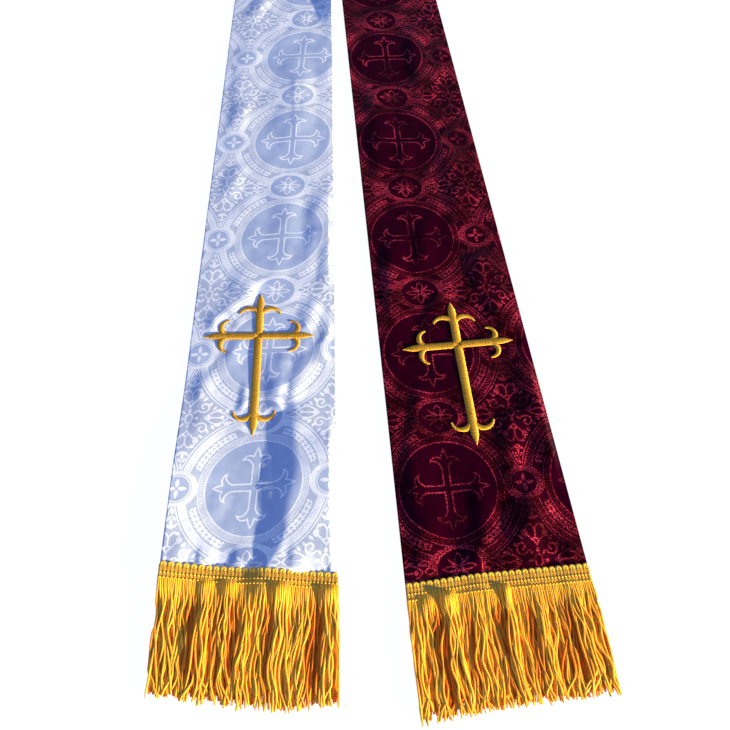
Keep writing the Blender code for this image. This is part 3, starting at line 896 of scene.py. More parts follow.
def cut_band(leg, lay):
    """The flat band as a mesh whose X is across and whose Y is the row."""
    points, triangles, weaves = laid_repeats(lay)
    across = points[:, 0] / width(leg, points[:, 1])
    row = points[:, 1]
    close = (np.abs(across) < REACH_ACROSS) & (np.abs(row - BAND_LENGTH / 2) < REACH_ALONG)
    near = close[triangles].any(1)
    flat = bpy.data.meshes.new("flat")
    used, index = np.unique(triangles[near], return_inverse=True)
    corners = np.stack([across[used], row[used], np.zeros(len(used))], -1)
    flat.from_pydata(corners.tolist(), [], index.reshape(-1, 3).tolist())
    flat.polygons.foreach_set("material_index", weaves[near].astype(np.int32))
    cloth = bmesh.new()
    cloth.from_mesh(flat)
    bpy.data.meshes.remove(flat)
    for side in (1, -1):
        cut_line(cloth, (side * 0.5, 0, 0), (side, 0, 0), trim=True)
        for inwards in EDGE_CUTS:
            cut_line(cloth, (side * (0.5 - inwards * MM / MEAN_WIDTH), 0, 0), (side, 0, 0))
    cut_line(cloth, (0, HEM_ROW, 0), (0, -1, 0), trim=True)
    cut_line(cloth, (0, ROWS_END, 0), (0, 1, 0), trim=True)
    for turn in range(ROLL_CUTS):
        at = BAND_LENGTH + (ROWS_END - BAND_LENGTH) * turn / ROLL_CUTS
        cut_line(cloth, (0, at, 0), (0, 1, 0))
    bmesh.ops.triangulate(cloth, faces=cloth.faces[:])
    return cloth


print(f"the band is cut {-HEM_ROW * 1000:.1f} mm below the heading's upper edge")

# %% [markdown]
# ## Finishes of the brocade
# A brocade has one colour of thread or two, and looks rich only because its weaves throw the
# light differently. The satin floats its threads, so it is smooth; on the white brocade the
# blue tint of its satin and ground is a painted reflection of the blue surroundings. The figure
# is bound tightly, so it looks paler. The twill and the ground lie between the two. Each weave
# is a material of its own, with threads as fine bump, and its highlights take its own tint, as
# they do on dyed silk.

# %% Tools for the finishes
def new_material(name):
    """A material with its nodes and links."""
    material = bpy.data.materials.new(name)
    material.use_nodes = True
    return material, material.node_tree.nodes, material.node_tree.links


def linear(r, g, b):
    """A colour given as 0 to 255, in the linear values that the shader takes."""
    shares = (r / 255, g / 255, b / 255)
    return tuple(c / 12.92 if c < 0.0405 else ((c + 0.055) / 1.055) ** 2.4 for c in shares)


def set_inputs(node, **values):
    """Sets a node's inputs by their names, with _ for each space."""
    for name, value in values.items():
        node.inputs[name.replace("_", " ")].default_value = value
    return node


def noise(nodes, links, coordinates, scale, detail=2):
    node = set_inputs(nodes.new("ShaderNodeTexNoise"), Scale=scale, Detail=detail)
    links.new(coordinates, node.inputs["Vector"])
    return node.outputs["Fac"]


def ramp(nodes, links, value, low, high, dark, light):
    """Goes from one colour to another as the value goes from low to high."""
    node = nodes.new("ShaderNodeValToRGB")
    first, last = node.color_ramp.elements
    first.position, first.color = low, (*dark, 1)
    last.position, last.color = high, (*light, 1)
    links.new(value, node.inputs["Fac"])
    return node.outputs["Color"]


print("middle grey, 128, is", round(linear(128, 128, 128)[0], 3), "to the shader")

# %% [markdown]
# One function makes every weave. Blotches as fine as a few threads give it its two tints,
# broader patches of painted sheen make it duller here and brighter there, a wave across the
# threads is their relief, and a soft noise puckers it. Where the two tints lie far apart, as in
# the burgundy figure, the bright one is painted glints of the threads that catch the light.

# %% Make the weaves
PATCHES, PUCKERS, THREAD_ROWS = 38, 75, 700  # scales for a map in metres
THREAD_RELIEF = 0.1 * MM


def brocade(name, dark, light, roughness, gloss, bump, mottle, lustre, pucker, sparks=(0.36, 0.64)):
    """A weave: two tints in fine blotches, duller and brighter patches of painted sheen, and threads as
    bump.
    """
    material, nodes, links = new_material(name)
    shader = nodes["Principled BSDF"]
    where = nodes.new("ShaderNodeUVMap")
    where.uv_map = "threads"
    threads = where.outputs["UV"]
    # the two tints; where they lie far apart, the bright one is painted glints
    blotches = noise(nodes, links, threads, mottle, 3)
    tint = ramp(nodes, links, blotches, *sparks, linear(*dark), linear(*light))
    # painted sheen: broad patches that dull the tint here and there
    patches = noise(nodes, links, threads, PATCHES)
    patches = ramp(nodes, links, patches, 0.42, 0.62, (1 - lustre,) * 3, (1, 1, 1))
    shaded = nodes.new("ShaderNodeMix")
    shaded.data_type = "RGBA"
    shaded.blend_type = "MULTIPLY"
    shaded.inputs["Factor"].default_value = 1
    links.new(tint, shaded.inputs["A"])
    links.new(patches, shaded.inputs["B"])
    links.new(shaded.outputs["Result"], shader.inputs["Base Color"])
    rows = set_inputs(nodes.new("ShaderNodeTexWave"), Scale=THREAD_ROWS, Distortion=1.5)
    rows.bands_direction = "DIAGONAL"
    links.new(threads, rows.inputs["Vector"])
    puckers = set_inputs(nodes.new("ShaderNodeBump"), Distance=pucker * MM)
    links.new(noise(nodes, links, threads, PUCKERS), puckers.inputs["Height"])
    relief = set_inputs(nodes.new("ShaderNodeBump"), Strength=bump, Distance=THREAD_RELIEF)
    links.new(puckers.outputs["Normal"], relief.inputs["Normal"])
    links.new(rows.outputs["Fac"], relief.inputs["Height"])
    links.new(relief.outputs["Normal"], shader.inputs["Normal"])
    bright = linear(*light)
    highlights = (*(c / max(bright) for c in bright), 1)
    set_inputs(shader, Roughness=roughness, Specular_IOR_Level=gloss, Specular_Tint=highlights)
    return material


# Each with its two tints, roughness, gloss, bump, mottle, lustre and pucker.
# painted reflection: the blue tints of the white satin and ground stand for the blue surroundings they
# reflect
WHITE_BROCADE = (
    brocade("white_satin", (163, 176, 211), (172, 184, 216), 0.42, 0.4, 0.15, 120, 0.06, 0.25),
    brocade("white_figure", (214, 217, 234), (240, 241, 250), 0.6, 0.3, 0.5, 1100, 0.05, 0.5),
    brocade("white_twill", (200, 206, 228), (236, 238, 248), 0.5, 0.3, 0.5, 900, 0.08, 0.5),
    brocade("white_ground", (166, 176, 206), (188, 196, 219), 0.5, 0.3, 0.5, 700, 0.08, 0.4),
)
# painted glints and sheen: the bright tints and high lustre of the burgundy figure, twill and ground
BURGUNDY_BROCADE = (
    brocade("burgundy_satin", (37, 0, 18), (44, 0, 21), 0.5, 0.02, 0.15, 120, 0.15, 0.6),
    brocade("burgundy_figure", (64, 0, 20), (218, 62, 88), 0.5, 0.12, 0.5, 900, 0.8, 1.0, (0.44, 0.62)),
    brocade("burgundy_twill", (46, 0, 18), (156, 34, 58), 0.5, 0.08, 0.5, 900, 0.78, 0.9, (0.48, 0.68)),
    brocade("burgundy_ground", (40, 0, 18), (84, 8, 32), 0.5, 0.04, 0.5, 900, 0.5, 0.8, (0.5, 0.74)),
)
print("weaves:", ", ".join(weave.name for weave in WHITE_BROCADE + BURGUNDY_BROCADE))

# %% [markdown]
# Now the flat cut is laid in place: every vertex goes to its point on the ply. It keeps a map
# of where it was in the flat cloth, so that the threads of the finish follow the weave. The
# white leg has burgundy below. On the other leg it is the other way round, because the stole
# was folded with that leg turned over.

# %% Weave the four plies
def placed(name, data):
    """An object with this mesh, lamp or camera, in the scene."""
    thing = bpy.data.objects.new(name, data)
    bpy.context.scene.collection.objects.link(thing)
    return thing


def map_threads(mesh, spots):
    """A map named threads, from a (u, v) in metres for each vertex."""
    corner = np.empty(len(mesh.loops), np.int32)
    mesh.loops.foreach_get("vertex_index", corner)
    mesh.uv_layers.new(name="threads").data.foreach_set("uv", spots[corner].ravel())


def lay_ply(leg, upper, materials):
    """A ply of brocade in its place."""
    name = f"{leg.name}_leg_{'upper' if upper else 'under'}_ply"
    cloth = cut_band(leg, LAYS[leg.name, upper])
    if not upper:
        bmesh.ops.reverse_faces(cloth, faces=cloth.faces[:])
    mesh = bpy.data.meshes.new(name)
    cloth.to_mesh(mesh)
    cloth.free()
    flat = np.empty(len(mesh.vertices) * 3)
    mesh.vertices.foreach_get("co", flat)
    across, row = flat.reshape(-1, 3)[:, 0], flat.reshape(-1, 3)[:, 1]
    mesh.vertices.foreach_set("co", on_ply(leg, upper, across, row).ravel())
    map_threads(mesh, np.stack([across * width(leg, row), row], -1))
    mesh.shade_smooth()
    mesh.normals_split_custom_set_from_vertices(ply_normals(leg, upper, across, row).tolist())
    for material in materials:
        mesh.materials.append(material)
    print(f"{name}: {len(mesh.polygons):,} triangles")
    return placed(name, mesh)


plies = {}
for leg, upper_brocade, under_brocade in (
    (WHITE, WHITE_BROCADE, BURGUNDY_BROCADE),
    (BURGUNDY, BURGUNDY_BROCADE, WHITE_BROCADE),
):
    for upper, materials in ((True, upper_brocade), (False, under_brocade)):
        plies[leg.name, upper] = lay_ply(leg, upper, materials)

# %% [markdown]
# ## The embroidered crosses
# Each stroke of the cross is machine satin stitch: shiny threads lie side by side across the
# stroke, padded to a crown along its middle. One row of the mesh is half a thread, and every
# other row lies lower, so the threads are real ridges that catch the light one by one. A round
# thread spreads its shine along the stroke and hardly at all across it, and the material does
# the same. The four arms meet in a mitred X, as the machine sews them.

# %% Sew a stroke in satin stitch
BEAM_WIDTH, UPRIGHT_WIDTH = 6.4 * MM, 6.6 * MM
THREAD = 0.42 * MM
STITCH_SLANT = 0.16  # how far a thread leans along the stroke, by its length
STITCH_BASE = 0.12 * MM  # of a stroke's edge over the cloth
STITCH_CROWN = 1.6 * MM
LOW_THREAD = 0.96  # height of every other row, as a share of its neighbours'
BUNDLE = 1.3 * MM  # the threads draw together in small bundles
BUNDLE_DEPTH = 0.1
STITCH_COLUMNS = 8


def satin_stroke(line, widths, swell=1.0):
    """A grid of (x, y, height) rows along a line of (x, y), one row for half a thread."""
    line, widths = np.array(line, float), np.array(widths, float)
    steps = np.hypot(*np.diff(line, axis=0).T)
    marks = np.concatenate([[0], np.cumsum(steps)])
    rows = max(6, round(marks[-1] / THREAD * 2))
    at = np.linspace(0, marks[-1], rows)
    middle_line = np.stack([np.interp(at, marks, line[:, k]) for k in (0, 1)], -1)
    ahead = np.gradient(middle_line, axis=0)
    ahead /= np.linalg.norm(ahead, axis=1, keepdims=True)
    aside = np.stack([-ahead[:, 1], ahead[:, 0]], -1)
    wide = np.interp(at, marks, widths) * (1 + 0.03 * np.sin(at / MM * 5.3))
    across = np.linspace(-1, 1, STITCH_COLUMNS + 1)
    spots = middle_line[:, None] + aside[:, None] * (across[:, None] * wide[:, None, None] / 2)
    spots = spots + ahead[:, None] * (across[:, None] * wide[:, None, None] / 2 * STITCH_SLANT)
    fullness = np.minimum(1, wide / BEAM_WIDTH) ** 0.8
    dome = np.sqrt(1 - (0.98 * across) ** 2)
    ridge = np.where(np.arange(rows) % 2, LOW_THREAD, 1.0)
    bundles = np.cos(2 * np.pi * at / BUNDLE + 1.5 * np.sin(at / (6 * MM)))
    ridge = ridge * (1 - BUNDLE_DEPTH * smooth(bundles, -0.2, 1.0))
    height = STITCH_BASE + STITCH_CROWN * swell * fullness[:, None] * dome * ridge[:, None]
    return np.concatenate([spots, height[..., None]], -1)


sample = satin_stroke([(0, 0), (0, 10 * MM)], [BEAM_WIDTH] * 2)
print(f"10 mm of a stroke: {len(sample)} rows, up to {sample[..., 2].max() * 1000:.1f} mm high")

# %% [markdown]
# The cross has four arms with pointed ends, and each arm has two hooks that swing out behind
# its point. The hooks are arcs through three places. They are sewn after the arms and a
# little fuller, so they lie over the arm where they leave it.

# %% Draw the strokes of the cross
def arc_through(a, b, c, steps=8):
    """Points on the circle through three points, from the first to the last."""
    a, b, c = (complex(*p) for p in (a, b, c))
    w = (c - a) / (b - a)
    centre = a + (b - a) * (w - abs(w) ** 2) / (2j * w.imag)
    first, last = a - centre, c - centre
    turn = np.angle(last / first)
    via = np.angle((b - centre) / first)
    if via * turn < 0 or abs(via) > abs(turn):
        turn -= math.copysign(2 * math.pi, turn)
    points = centre + first * np.exp(1j * turn * np.linspace(0, 1, steps + 1))
    return np.stack([points.real, points.imag], -1)


def arm(out, length, point, wide):
    """One arm from the crossing to its point, with a mitred start."""
    marks = [0, wide / 2, length - point, length - point * 0.55, length]
    return [np.array(out) * mark for mark in marks], [0.3 * MM, wide, wide, wide * 0.86, 0.5 * MM]


HOOK_WIDTHS = (3.4 * MM, 4.5 * MM, 1.7 * MM)  # at its root, its belly and its tip


def hook(out, hand, root, bulge, end, reach):
    """A hook that leaves the arm at root, swings out past it and comes back to its own tip."""
    out = np.array(out)
    aside = np.array([-out[1], out[0]]) * hand
    start = out * root + aside * 1.0 * MM
    line = arc_through(start, out * bulge + aside * reach * 0.52, out * end + aside * reach)
    return line, np.interp(np.linspace(0, 1, len(line)), [0, 0.4, 1], HOOK_WIDTHS)


def cross_strokes():
    """All strokes about the crossing: each arm with its direction, length, point and width."""
    strokes = []
    for out, length, point, wide in (
        ((0, 1), CROSS_UP, 12.5 * MM, UPRIGHT_WIDTH),
        ((0, -1), CROSS_DOWN, 14.5 * MM, UPRIGHT_WIDTH),
        ((1, 0), CROSS_SIDE, 13.5 * MM, BEAM_WIDTH),
        ((-1, 0), CROSS_SIDE, 13.5 * MM, BEAM_WIDTH),
    ):
        strokes.append(satin_stroke(*arm(out, length, point, wide)))
    for out, length, root, bulge, end, reach in (
        ((0, 1), CROSS_UP, 21.5, 14.8, 20.8, 17.2),
        ((0, -1), CROSS_DOWN, 21.0, 13.9, 20.6, 16.4),
        ((1, 0), CROSS_SIDE, 19.5, 13.2, 20.2, 14.4),
        ((-1, 0), CROSS_SIDE, 20.0, 14.2, 20.4, 15.6),
    ):
        for hand in (1, -1):
            places = (length - root * MM, length - bulge * MM, length - end * MM, reach * MM)
            strokes.append(satin_stroke(*hook(out, hand, *places), swell=1.12))
    return strokes


print("strokes of a cross:", len(cross_strokes()))

# %% [markdown]
# Stitches, loops and strands are all grids of points: rows along the thread and columns over
# it. So one function joins any number of grids into one mesh. The material of the stitches
# has a drawn-out shine, and a map along each stroke tells it which way the threads lie.

# %% Stitch the crosses
def grid_faces(rows, columns, first, closed):
    """Triangles of a grid of points numbered row by row, two to a cell."""
    cells = columns if closed else columns - 1
    r, c = np.meshgrid(np.arange(rows - 1), np.arange(cells), indexing="ij")
    a, b = r * columns + c, r * columns + (c + 1) % columns
    d, e = b + columns, a + columns
    return np.concatenate([np.stack([a, b, d], -1), np.stack([a, d, e], -1)]).reshape(-1, 3) + first


def joined_mesh(name, grids, material, closed=False, flip=False):
    """One smooth mesh of several grids of points, each an array of rows x columns x 3."""
    points, faces, count = [], [], 0
    for grid in grids:
        rows, columns = grid.shape[:2]
        faces.append(grid_faces(rows, columns, count, closed))
        points.append(grid.reshape(-1, 3))
        count += rows * columns
    points, faces = np.concatenate(points), np.concatenate(faces)
    if flip:
        faces = faces[:, ::-1]
    mesh = bpy.data.meshes.new(name)
    mesh.from_pydata(points.tolist(), [], faces.tolist())
    mesh.shade_smooth()
    mesh.materials.append(material)
    print(f"{name}: {len(faces):,} triangles")
    return placed(name, mesh)


def cloth_height(leg, x, y):
    """Height of the upper ply over the leg's underside, under a place on the table."""
    row = y
    for _ in range(3):
        side = x - middle(leg, row)
        row = y - leg.hem_slope * side * (1 - row / BAND_LENGTH)
    across = (x - middle(leg, row)) / width(leg, row)
    return ply_height(leg, True, across, row) + lift(leg, x, y)


def embroidered_cross(leg, material):
    """All strokes as one piece, laid over the creases of the cloth."""
    up = cross_axis(leg)
    right = np.array([up[1], -up[0]])
    grids, threads = [], []
    for stroke in cross_strokes():
        rows, columns = np.indices(stroke.shape[:2])
        column_width = BEAM_WIDTH / STITCH_COLUMNS
        threads.append(np.stack([rows * THREAD / 2, columns * column_width], -1).reshape(-1, 2))
        flat = cross_middle(leg) + stroke[..., :1] * right + stroke[..., 1:2] * up
        z = cloth_height(leg, flat[..., 0], flat[..., 1]) + stroke[..., 2]
        grids.append(np.concatenate([flat, z[..., None]], -1) - ORIGIN)
    piece = joined_mesh(f"{leg.name}_leg_cross", grids, material, flip=True)
    map_threads(piece.data, np.concatenate(threads))
    return piece


def gold(name, dark, light, stops=(0, 1), grain=0, detail=2, **finish):
    """A gold thread, with its tint from a fine noise or from the tone of each strand, which holds painted
    shade.
    """
    material, nodes, links = new_material(name)
    if grain:
        where = nodes.new("ShaderNodeTexCoord")
        value = noise(nodes, links, where.outputs["Object"], grain, detail)
    else:
        tone = nodes.new("ShaderNodeAttribute")
        tone.attribute_name = "tone"
        value = tone.outputs["Fac"]
    shader = set_inputs(nodes["Principled BSDF"], **finish)
    tint = ramp(nodes, links, value, *stops, linear(*dark), linear(*light))
    links.new(tint, shader.inputs["Base Color"])
    return material


WARM_HIGHLIGHTS = (1, 0.9, 0.5, 1)
gold_thread = gold(
    "gold_embroidery_thread", (184, 120, 16), (242, 184, 66), (0.36, 0.64), grain=1300, detail=3,
    Roughness=0.6, Metallic=0.5, Specular_Tint=WARM_HIGHLIGHTS, Anisotropic=0.9,
)
nodes, links = gold_thread.node_tree.nodes, gold_thread.node_tree.links
tangent = nodes.new("ShaderNodeTangent")
tangent.direction_type = "UV_MAP"
tangent.uv_map = "threads"
links.new(tangent.outputs["Tangent"], nodes["Principled BSDF"].inputs["Tangent"])
crosses = {leg.name: embroidered_cross(leg, gold_thread) for leg in LEGS}

# %% [markdown]
# ## The fringe's heading
# A bullion fringe hangs from a braided heading: a ribbed tape with a twisted cord along it, a
# row of little loops above and two rows of stitches that hold it to the hem. Loops, cord and
# stitches are tubes bent along the hem, because at this size each casts its own shadow.

# %% Bend tubes along the hem
UPPER_STITCHES = 5.9 * MM  # down from the middle of the loops
STITCH_ROWS = {"white": 3.4 * MM, "burgundy": 4.4 * MM}  # between the two rows


def heading_wave(leg, across):
    """How the heading waves over the creases that run into it."""
    return creases(leg, np.asarray(across, float), np.full(np.shape(across), -2 * MM))


def heading_place(leg, across, down, height):
    """A point on the heading: across it, down from the middle of its loops and over the cloth."""
    x, y = plan(leg, across, 0.0)
    axis = cross_axis(leg)
    down = down + leg.heading_shift
    z = STACK + lift(leg, x, y) + heading_wave(leg, across) + height
    return np.stack(np.broadcast_arrays(x - axis[0] * down, y - axis[1] * down, z), -1) - ORIGIN


def tube(path, radius, sides=6):
    """Rings of points round a path, flattened where radius is a (wide, high) pair."""
    path = np.asarray(path, float)
    wide, high = radius if isinstance(radius, tuple) else (radius, radius)
    ahead = np.gradient(path, axis=0)
    ahead /= np.maximum(np.linalg.norm(ahead, axis=1, keepdims=True), 1e-12)
    aside = np.cross(ahead, [0, 0, 1])
    aside /= np.maximum(np.linalg.norm(aside, axis=1, keepdims=True), 1e-12)
    up = np.cross(aside, ahead)
    turns = 2 * np.pi * np.arange(sides) / sides
    wide, high = (np.broadcast_to(r, len(path))[:, None, None] for r in (wide, high))
    return (
        path[:, None]
        + aside[:, None] * wide * np.cos(turns)[:, None]
        + up[:, None] * high * np.sin(turns)[:, None]
    )


for leg in LEGS:
    wave = heading_wave(leg, np.linspace(-0.5, 0.5, 101))
    print(f"{leg.name} heading: waves up to {wave.max() * 1000:.1f} mm over the cloth")

# %% [markdown]
# The loops are round and pulled so tight that they touch. The cord below them is a row of
# smaller loops. Then come the stitches, two to a loop in each row. The tape under it all is one
# ribbed strip. Cord and tape take a darker gold than the loops, as painted shade where they lie low.

# %% Shape the headings
LOOP = 1.25 * MM  # half the height of a loop


def picot_loops(leg, size=1.0, down=0.0, offset=0.5, height=0.8 * MM):
    """Round loops side by side, pulled so tight that their holes almost close."""
    turns = np.linspace(-0.42, 1.42, 15) * math.pi
    loops = []
    for i in range(leg.picots):
        across = (i + offset - size * 0.24 * np.cos(turns)) / leg.picots - 0.5
        path = heading_place(leg, across, down - size * LOOP * np.sin(turns), height)
        loops.append(tube(path, (size * LOOP, size * 0.6 * LOOP), sides=8))
    return loops


def stitches(leg):
    """Two rows of tight stitches, two to a loop, each a small bead of thread."""
    beads = []
    for down in (UPPER_STITCHES, UPPER_STITCHES + STITCH_ROWS[leg.name]):
        for i in range(2 * leg.picots):
            across = (i + np.linspace(0.22, 0.78, 5)) / (2 * leg.picots) - 0.5
            slant = np.array([0.25, 0.12, 0, -0.12, -0.25]) * MM
            height = np.array([0.9, 1.25, 1.4, 1.25, 0.9]) * MM
            path = heading_place(leg, across, down + slant, height)
            beads.append(tube(path, np.array([0.15, 0.5, 0.62, 0.5, 0.15]) * MM))
    return beads


def heading_tape(leg):
    """The ribbed tape under the loops and stitches, as one closed rounded section."""
    across = np.linspace(-0.5, 0.5, leg.picots * 16 + 1)
    rib = 0.35 * MM * np.abs(np.sin(2 * np.pi * leg.picots * (across + 0.5)))
    end = UPPER_STITCHES / MM + STITCH_ROWS[leg.name] / MM + 0.8
    section = (
        (0.4, 0.1), (0.4, 0.9), (1.6, 1.2), (2.6, 1.1), (4.6, 1.05), (5.9, 0.8), (6.6, 0.9),
        (end - 1.6, 0.8), (end - 0.6, 0.6), (end, 0.4), (end, 0.1),
    )  # down the tape and over the cloth, in millimetres
    rows = []
    for down, high in section:
        rows.append(heading_place(leg, across, down * MM, high * MM + rib * (high > 0.1)))
    return np.stack(rows)


def heading(leg, thread, tape):
    """Its three pieces: loops with stitches, the cord, and the tape."""
    loops = picot_loops(leg) + stitches(leg)
    braid = picot_loops(leg, 0.7, 3.0 * MM, 0.62, 0.9 * MM)
    return (
        joined_mesh(f"{leg.name}_heading_loops", loops, thread, closed=True),
        joined_mesh(f"{leg.name}_heading_braid", braid, tape, closed=True),
        joined_mesh(f"{leg.name}_heading_tape", [heading_tape(leg)], tape),
    )


GRAIN = 1500  # scale of the fine noise on cord and tape
gold_cord = gold("gold_heading_cord", (226, 168, 38), (248, 198, 66), grain=GRAIN, Roughness=0.35)
# painted shade: the tape's darker gold, used for the cord too, stands for shadow under the loops and
# stitches
gold_tape = gold("gold_tape", (166, 110, 18), (222, 164, 40), grain=GRAIN, Roughness=0.5)
print("loops on each heading:", {leg.name: leg.picots for leg in LEGS})

# %% [markdown]
# ## The fringe
# The strands are glossy rayon cords. They come out of the heading side by side, then drift
# into locks, cross one another and end at uneven lengths. Each strand is a flattened tube
# along its own wavy path. It follows its lock, adds a wave of its own and lies in one of three
# layers, the lowest on the table. A lock stands higher in its middle and shades the next one.

# %% Describe the three layers
class Layer(NamedTuple):
    strands: int  # in a leg's fringe; 0 stands for four to a loop
    stations: int  # points along a strand, and round it
    sides: int
    root: float  # how far below the upper stitches a strand starts, in millimetres
    under: float  # its height there over the cloth, in millimetres
    rest: float  # its height further down over the table, in millimetres
    shorter: float  # shares of the length, of the lock's pull, of the tuft's pull
    follow: float
    gathered: float
    wave: float  # a strand's own wave to the sides and up, in millimetres
    ripple: float
    arch: float  # shares of the lock's height and of its spring
    spring: float
    thick: float  # half a strand's width, in millimetres
    tone: float  # of its tint, from 0 for deep to 1 for bright


# the lower layers take a deeper tone: painted shade under the strands above
LOW = Layer(108, 24, 5, 1.6, -0.3, 0.9, 0.03, 0.15, 0.0, 0.2, 0.2, 0.3, 0.1, 1.25, 0.0)
MID = Layer(96, 28, 6, 0.6, 0.1, 2.1, 0.015, 0.5, 0.35, 0.6, 0.3, 0.8, 0.6, 1.0, 0.35)
TOP = Layer(0, 30, 6, 0.0, 0.5, 3.3, 0.0, 1.0, 0.5, 1.1, 0.35, 1.0, 1.0, 0.86, 0.65)
for leg in LEGS:
    print(f"{leg.name} fringe: {LOW.strands + MID.strands + 4 * leg.picots} strands")

# %% [markdown]
# A lock is a group of strands that lean, sway and rise together. The locks are listed one by
# one, like the creases, because their unequal widths and heights are what makes the fringe
# look handled instead of combed.

# %% List the locks
class Lock(NamedTuple):
    across: float  # its middle, and half its width, in shares of the hem's width
    half: float
    lean: float  # of its tip to the right, in millimetres like all that follow
    sway: float  # from side to side on its way
    high: float  # of its back, half way down
    spring: float  # how far it springs up just below the heading


LOCK_ROWS = {
    "white": (
        (-0.45, 0.055, 0, 0.8, 0.8, 0),
        (-0.335, 0.052, 1.5, 0.5, 0, 0),
        (-0.238, 0.044, -0.5, 0.9, 2.9, 2),
        (-0.18, 0.022, 1, 0.5, 0.3, 0),
        (-0.11, 0.05, 0.5, 1.2, 1.2, 2.4),
        (-0.01, 0.046, -2, 1, 1.8, 0),
        (0.076, 0.042, -1, 0.6, 0.3, 0.4),
        (0.18, 0.058, -2.5, 1.4, 1.6, 3.6),
        (0.315, 0.072, -3, 0.8, 0.4, 0.6),
        (0.448, 0.06, 0, 0.9, 2.2, 3.4),
    ),
    "burgundy": (
        (-0.47, 0.028, -0.5, 0.5, 1.2, 0),
        (-0.393, 0.052, 1, 0.6, 0, 2.2),
        (-0.289, 0.05, 2, 1.2, 2.4, 4.4),
        (-0.21, 0.028, 0, 0.5, 0.2, 0.3),
        (-0.142, 0.04, 0.5, 1, 1.6, 0.4),
        (-0.054, 0.048, 0, 0.6, 0, 0.4),
        (0.025, 0.032, 0.5, 0.9, 2.6, 3.8),
        (0.098, 0.042, -0.5, 0.6, 0.2, 0.2),
        (0.187, 0.046, -1.5, 1, 2, 0.4),
        (0.286, 0.052, 1, 0.7, 0.2, 0.4),
        (0.39, 0.052, 2, 1.2, 2.6, 0.4),
        (0.474, 0.03, 1, 0.6, 0.8, 0),
    ),
}
LOCKS = {name: [Lock(*row) for row in rows] for name, rows in LOCK_ROWS.items()}
print("locks:", {name: len(locks) for name, locks in LOCKS.items()})

# %% [markdown]
# Each strand is worked out in three steps: how long it is, how it drifts to the sides on its
# way down, and how it rises over the strands below. Chance has a part in each step. All
# chance comes from one seeded source, so the fringe is the same each time.

# %% Shape a strand
TAPERS = {"white": -0.02, "burgundy": 0.05}  # how much shorter the right end is
STRAYS = 0.45  # share of the top strands that leave their lock
STRAY_DRIFT = (-1.5, 5.5)  # mean and spread of where they go, in millimetres
CALM_ENDS, CALM_CURL, WILD_CURL = 0.7, 2.0, 5.5  # share of calm cut ends, curls in millimetres
CUT_SHORT, SHORT_BESIDE_TUFT = 0.08, 2.5  # how much of a strand chance may take off


def strand_length(leg, layer, across, tuft, rng):
    """Few strands are much shorter than the rest, and more so away from a tuft's middle."""
    shorter = layer.shorter + CUT_SHORT * rng.random() ** 3
    shorter = shorter + SHORT_BESIDE_TUFT * abs(across - tuft) * rng.random()
    length = leg.fringe_length * (1 - TAPERS[leg.name] * (across + 0.5))
    length += np.interp(across, np.linspace(-0.5, 0.5, 5), leg.fringe_extra) * MM
    return length * (1 - shorter) - layer.root * MM


def strand_drift(leg, layer, lock, across, tuft, share, rng):
    """How far the strand is to the right of where it starts."""
    to_lock = (lock.across - across) * leg.hem_width * 0.18
    aside = to_lock * layer.follow * smooth(share, 0.1, 1.0)
    gathered = layer.gathered * smooth(share, 0.75, 1.05)
    aside = aside + (tuft - across) * leg.hem_width * gathered
    aside = aside + across * leg.hem_width * (leg.fringe_spread - 1) * share
    aside = aside + layer.follow * lock.lean * MM * smooth(share, 0.0, 1.0)
    wave = np.sin(40 * lock.across + 6.0 * share) * smooth(share, 0.08, 0.5)
    aside = aside + layer.follow * lock.sway * MM * wave
    own, bends = layer.wave * rng.uniform(0.4, 1.6) * MM, rng.uniform(7, 20)
    aside = aside + own * np.sin(rng.uniform(0, 6.28) + bends * share) * smooth(share, 0.05, 0.3)
    if layer is TOP and rng.random() < STRAYS:
        aside = aside + rng.gauss(*STRAY_DRIFT) * MM * smooth(share, 0.1, 0.9)
    if layer is not LOW:  # the cut ends curl
        curl = rng.gauss(0, CALM_CURL if rng.random() < CALM_ENDS else WILD_CURL) * MM
        aside = aside + curl * smooth(share, 0.84, 1.0)
    edge = leg.hem_width / 2 + 0.5 * MM
    return np.clip(across * leg.hem_width + aside, -edge, edge) - across * leg.hem_width


def strand_height(layer, lock, across, root_height, share, rng):
    """It springs up under the stitches, comes down and arches over the lock's back."""
    back = 1 - min(1.0, abs(across - lock.across) / lock.half) ** 2
    arch = 0.9 * lock.high * MM * back * layer.arch * np.sin(np.pi * share**1.25)
    rest = layer.rest * MM + arch
    rest = rest + layer.ripple * MM * np.sin(rng.uniform(0, 6.28) + 13 * share)
    spring = lock.spring * back * layer.spring * MM
    spring = spring * smooth(share, 0.0, 0.07) * smooth(0.26 - share, 0, 0.2)
    start = root_height + layer.under * MM
    return rest + (start - rest) * (1 - smooth(share, 0.03, 0.3)) + spring


print(f"strays among the top strands: {STRAYS:.0%}")

# %% [markdown]
# Strands on the left of a high lock, where its shadow falls, get a deeper tone as painted
# shade, on top of the painted shade of the lower layers and a random spread. The tone is
# stored on the mesh, strand by strand, and the finish turns it into a tint. Rayon is glossy and
# lets a little light pass through, which makes the thin ends glow.

